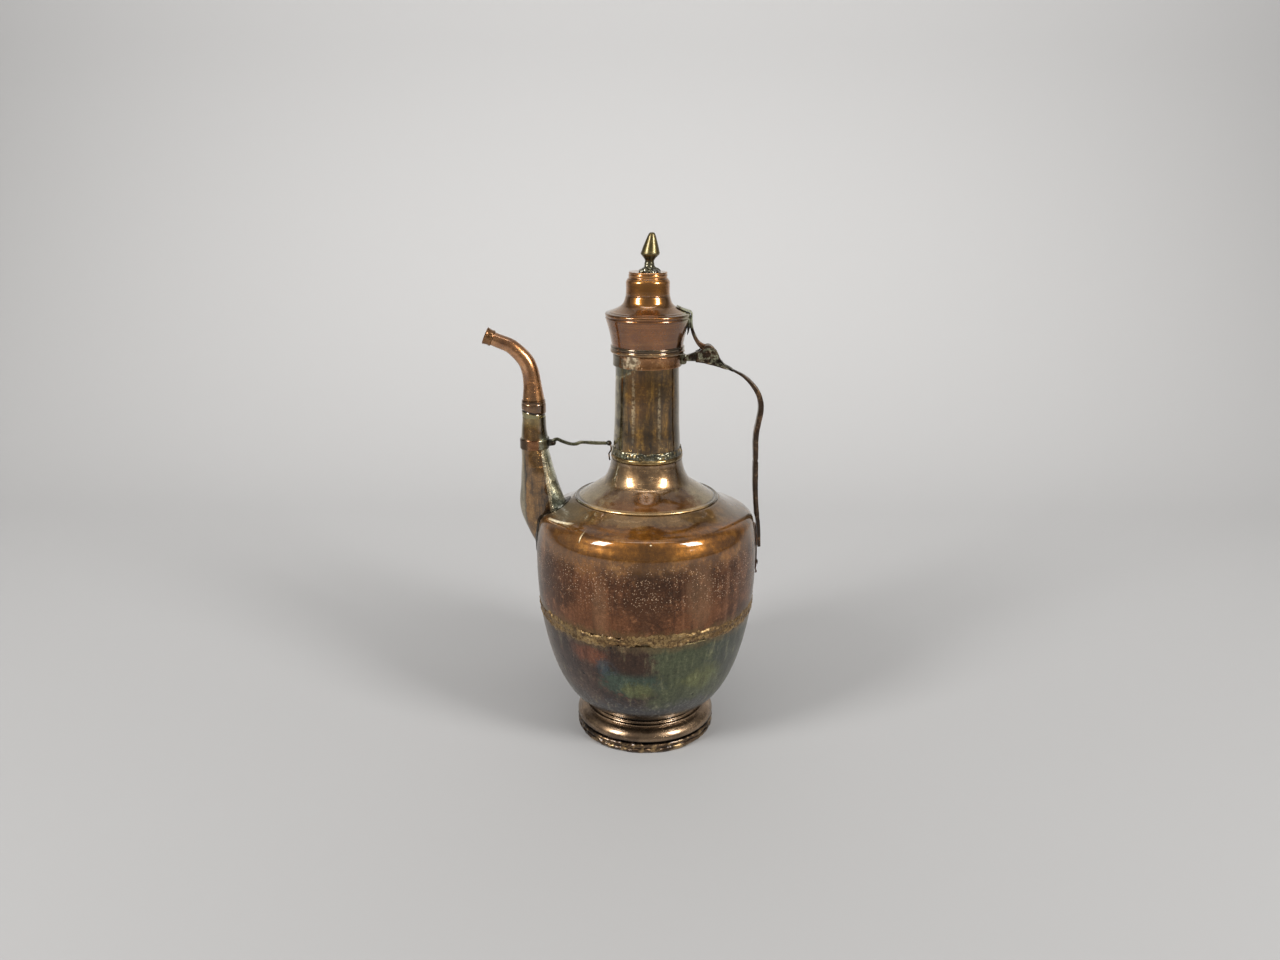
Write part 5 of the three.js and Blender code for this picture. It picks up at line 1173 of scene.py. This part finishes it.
tail_rivet_grid = turned(rivet_line, 32)[..., ::-1] * (1, 1, -1) + (tail_rivet.x, 0, tail_rivet.z)
black = dark_metal("black_rivet", 0.8, (100, 70, 50))
piece("tail_rivet", [skin(tail_rivet_grid)], "jug", "dark_bronze", black.done(0.2), "handle_tail_rivet")

# Hinge pin: a brass pin through the cheeks and the lid's eye, hammered to two low domes.
riveted("hinge_pin_domed", "hinge_pin", HEAD_HALF_W, 1.5, 2.4, 40)

# Lid rim: sheet rolled twice to a stiff double bead that stands on the collar.
lid_low, lid_rim_high = levels("lid_rim")
lid_rim_r = extent("lid_rim", 1)
lid_rim_h = lid_rim_high - lid_low
rim_section = np.concatenate([
    flow([(-0.9, 0.02), (-0.2, 0.6), (0, 1.5), (-0.15, 2.4), (-0.75, 3)], 14),
    flow([(-0.8, 3.2), (-0.3, 3.7), (-0.2, 4.5), (-0.4, 5.4), (-1.1, lid_rim_h)], 12),
    [(-2.6, lid_rim_h), (-2.6, 0)]]) + (lid_rim_r, lid_low)
lid_rim_grid = hand_made(turned(rim_section, 224), 0.12, 121)
rolled = Metal("rolled_rim", (200, 120, 52), (420, 270, 130), (700, 520, 300), 0.72, 0.2, 0.03, 0.2)
rolled.tint((abs(rolled.turn) + rolled.torn(40)).rise(50, 75) * 0.55, (200, 120, 60))
# Painted shade: a dark line in the groove between the two rolls.
rolled.tint(abs(rolled.up - lid_low - 3.1).rise(0.45, 0.1) * 0.9, (40, 20, 12))
rolled.tint(rolled.up.rise(lid_low + 3.5, lid_low + 4.2) * 0.75, (75, 60, 35))
piece("lid_rolled_rim", [ring(lid_rim_grid)], "lid", "copper", rolled.done(1, 0.07), "lid_rim")

# Lid: spun from one disc of copper, with a wall that widens upwards, turned beads at its edge and
# a hollow dome that rises to a small round crown. Fine lines of the spinning run round it.
LID_SHEET = 1.1
lid_top = extent("lid_shell")
lid_edge_r = extent("lid_shell", 1)
lid_line = np.concatenate([
    flow([(28.2, lid_rim_high), (28.55, 333.4), (29.1, 337), (30.1, 341.5), (31.3, 346), (32.4, 349.8),
          (32.75, 350.9)], 44),
    flow([(32.95, 351.3), (33.1, 351.8), (32.95, 352.4), (32.6, 352.9)], 9),
    flow([(32.75, 353.3), (33.1, 353.8), (lid_edge_r, 354.5), (33.05, 355.2), (32.5, 355.75),
          (31.6, 356)], 16),
    flow([(31, 356.1), (30.3, 356.35), (29.8, 356.75), (28.9, 357)], 8),
    flow([(28, 357.2), (24.7, 358.8), (21.7, 360.5), (20.1, 361.9), (18.9, 363.5), (18.2, 365.2),
          (17.6, 367.4), (17.35, 368.3)], 40),
    flow([(17.15, 368.6), (17.05, 368.8), (17.25, 369.1), (17.25, 369.5), (17, 369.8), (17.15, 370.1)], 14),
    flow([(17.1, 370.6), (17, 373), (17, 376.5), (17.05, 378.6)], 22),
    flow([(17, 379.3), (16.7, 380.1), (16.1, 380.9), (15.8, 381.5)], 10),
    flow([(15.5, 381.9), (15, 382.3), (14.9, 383), (15.1, 384), (15.1, 384.5), (14.75, 385)], 14),
    flow([(14.7, 385.3), (14.95, 385.7), (15, 386.2), (14.6, lid_top)], 9),
    [(13, lid_top), (8, lid_top), (1.2, lid_top)]])
lid_inside = sheet(lid_line, LID_SHEET)[len(lid_line):]
lid_profile = np.concatenate([[(0, lid_top - LID_SHEET)], lid_inside, lid_line, [(0, lid_top)]])
lid_profile[:, 0] = np.maximum(lid_profile[:, 0], 0)
lid_grid = hand_made(turned(lid_profile, 256), 0.14, 131)
lid = Metal("spun_lid", (185, 78, 12), (300, 125, 22), (400, 200, 50), 0.8, 0.26, 0.03, 0.1)
lathe = lid.streaks(12, 900, 4, 0.6)
lid.veil(lid.up.rise(356, 350) * 0.7, lid.cloud.rise(0.36, 0.62), (170, 66, 22), (310, 120, 40))
lid.tint(lid.up.rise(355, 358) * 0.6, (290, 140, 28))
lid.tint(lid.up.rise(367, 372) * 0.7, (500, 230, 55))
lid.tint(lathe.rise(0.5, 0.68) * 0.25, (500, 290, 140))
lid.tint(lathe.rise(0.46, 0.34) * 0.35, (150, 65, 30))
# Painted shade: thin dark lines in the grooves between the lid's beads and rings.
for level in (350.95, 353, 356.05, 368.75, 369.8, 381.75, 385.1):
    lid.tint(abs(lid.up - level).rise(0.4, 0.1) * 0.7, (100, 45, 20))
lid.patch(0.6, (180, 75, 40), -20, 340, 7, 4, 0.6)
lid.tint((lid.across + lid.torn(0, 8)).rise(24, 29) * lid.up.rise(346, 353) * 0.7, (300, 330, 240))
lid.height += lathe * 0.12
piece("lid_spun", [skin(lid_grid)], "lid", "copper", lid.done(1, 0.06, grit=0.7), "lid_shell")

# Lid strap: forged like the handle, soldered on the dome and bent down over the lid's edge to its
# eye, which turns on the pin between the cheeks.
STRAP_W, EYE_W, EYE_BORE = 9, 4.6, 1.8
# Outer and inner line of the strap from the eye up to its end on the dome
strap_out = flow([
    (46.4, 330.7), (43.2, 331.9), (40.2, 334.4), (37.9, 338.3), (36, 343), (34.9, 348), (34.75, 352.2),
    (34.9, 355), (33.7, 356.9), (31.2, 357.75), (28, 358.75), (25, 360.1), (22.6, 361.3)], 110)
strap_in = flow([
    (42, 327.6), (40.2, 329.2), (37.9, 332), (35.7, 336), (34, 340.6), (32.9, 345.4), (33.1, 350.2),
    (33.6, 353.8), (32.9, 355.95), (30.8, 356.75), (28, 357.7), (25, 359.1), (22.6, 360.5)], 110)
strap_half = STRAP_W / 2 + (EYE_W - STRAP_W) / 2 * smooth(PIN_Z + 15 - strap_out[:, 1], 0, 7)
strap_over, strap_side = squarish(40, 0.45)
strap_mid, strap_arm = (strap_out + strap_in) / 2, (strap_out - strap_in) / 2
strap_flat = strap_mid[:, None] + strap_arm[:, None] * strap_over[:, None]
strap_grid = upright(strap_flat, strap_half[:, None] * strap_side)
strap_grid = beaten(ended(strap_grid), (7, 0.25, 141), (2.5, 0.12, 142), loop=False)
fill_path = flow([(32.9, 353.2), (32.7, 351), (32.3, 347.5), (31.9, 344), (31.5, 341), (31.1, 338.4)], 40)
fill_thick, fill_wide = flow([(1.2, 7.5), (2.4, 8.4), (2.6, 7.6), (2.2, 6.6), (1.7, 5.6), (0.7, 4)], 40).T
fill_grid = beaten(ended(carried(fill_path, fill_thick, fill_wide, 32, 0.7)), (2.4, 0.3, 143), loop=False)
eye_half = EYE_W / 2
hinge_line = [(KNUCKLE_R, 0.4 - eye_half), (KNUCKLE_R, eye_half - 0.4), (KNUCKLE_R - 0.4, eye_half),
              (EYE_BORE, eye_half), (EYE_BORE, -eye_half), (KNUCKLE_R - 0.4, -eye_half)]
hinge_eye = about_y(turned(hinge_line, 64), PIN_X, PIN_Z)
strap = dark_metal("lid_strap_metal", 0.6, (360, 230, 130))
pale = (strap.up + strap.torn(0, 16)).rise(343, 349)
strap.tint(pale * strap.noise(200, 4, 0.7).rise(0.4, 0.55) * 0.9, (420, 460, 340))
strap.tint(strap.up.rise(342, 334) * 0.6, (220, 110, 60))
strap.dull(pale, 0.15, 0.4)
piece("lid_strap_forged", [skin(strap_grid), skin(fill_grid), ring(hinge_eye)],
      "lid", "dark_bronze", strap.done(0.2), "lid_strap")

# Knob base: a cone of rough solder that holds the knob on the crown.
KNOB_X, BASE_R = 1, 8.3
base_top = extent("finial_base")
base_h = base_top - lid_top
base_line = flow([(BASE_R, -0.05), (7.9, 0.9), (6.6, 2), (4.9, 3), (4, 4.1), (3.7, base_h)], 26)
base_line = np.concatenate([[(0, -0.05)], base_line, [(0, base_h)]]) + (0, lid_top)
base_grid = turned(base_line, 160)
rough_share = 0.15 + 0.85 * smooth(lid_top + 5 - base_grid[..., 2:], 0, 3)
base_lumps = beaten(base_grid, (3.4, 0.8, 151), (1.4, 0.4, 152), loop=False) - base_grid
base_grid[1:-1] += (base_lumps * rough_share)[1:-1]
base_grid[..., 2] = np.maximum(base_grid[..., 2], lid_top - 0.05)
knob_solder = Metal("knob_solder", (50, 52, 36), (180, 180, 125), (500, 500, 380), 0.6, 0.26, 0.5)
piece("knob_solder_cone", [skin(base_grid + (KNOB_X, 0, 0))],
      "lid", "solder", knob_solder.done(1, 0.06), "finial_base")

# Knob: a cast brass bud, turned and polished, that leans a little outwards. Its tang goes through
# the crown and is riveted over a washer.
KNOB_LEAN = 1.9
STEM_R, TANG_R, TANG_HEAD_R = 3.7, 1.6, 2.9
knob_top = extent("finial")
tang_low = extent("finial", end=0)
bud_line = np.concatenate([
    [(0, tang_low), (TANG_HEAD_R - 0.5, tang_low + 0.1), (TANG_HEAD_R, tang_low + 0.5),
     (TANG_HEAD_R, tang_low + 1.2), (TANG_R, tang_low + 1.25), (TANG_R, base_top - 0.6),
     (STEM_R, base_top - 0.5)],
    flow([(STEM_R, -0.3), (3.45, 0.8), (3.6, 1.9), (4.4, 3.3), (5.9, 5), (7, 6.3), (7.3, 7.1), (7.2, 7.9),
          (6.75, 9.1), (5.9, 12.1), (4.9, 15.1), (3.8, 18.2), (2.9, 20.6), (2.2, 21.9),
          (1.2, knob_top - base_top - 0.15)], 90) + (0, base_top),
    [(0, knob_top)]])
bud_grid = turned(bud_line, 128)
bud_share = np.clip((bud_grid[..., 2] - base_top) / (knob_top - base_top), 0, 1)
bud_grid[..., 0] += KNOB_X + KNOB_LEAN * bud_share
brass = Metal("cast_brass", (90, 70, 26), (160, 130, 56), (360, 300, 180), 0.74, 0.36, 0.08, 0.4)
# Painted shade: the stem and the underside of the bud are darkened.
brass.tint(brass.up.rise(base_top + 6.6, base_top + 4.6) * 0.85, (60, 55, 30))
brass.tint(brass.noise(190, 5, 0.7).rise(0.46, 0.34) * 0.6, (160, 120, 50))
piece("knob_bud", [skin(bud_grid)], "lid", "bright_brass", brass.done(0.3, 0.1), "finial")

# Washer: the small ring inside the crown that the tang is riveted over. It keeps its plain shape.
washer = Metal("washer_brass", (100, 70, 35), (240, 160, 70), (400, 280, 140), 0.6, 0.4)
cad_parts["finial_washer"].material_slots[0].material = washer.done(0.1)
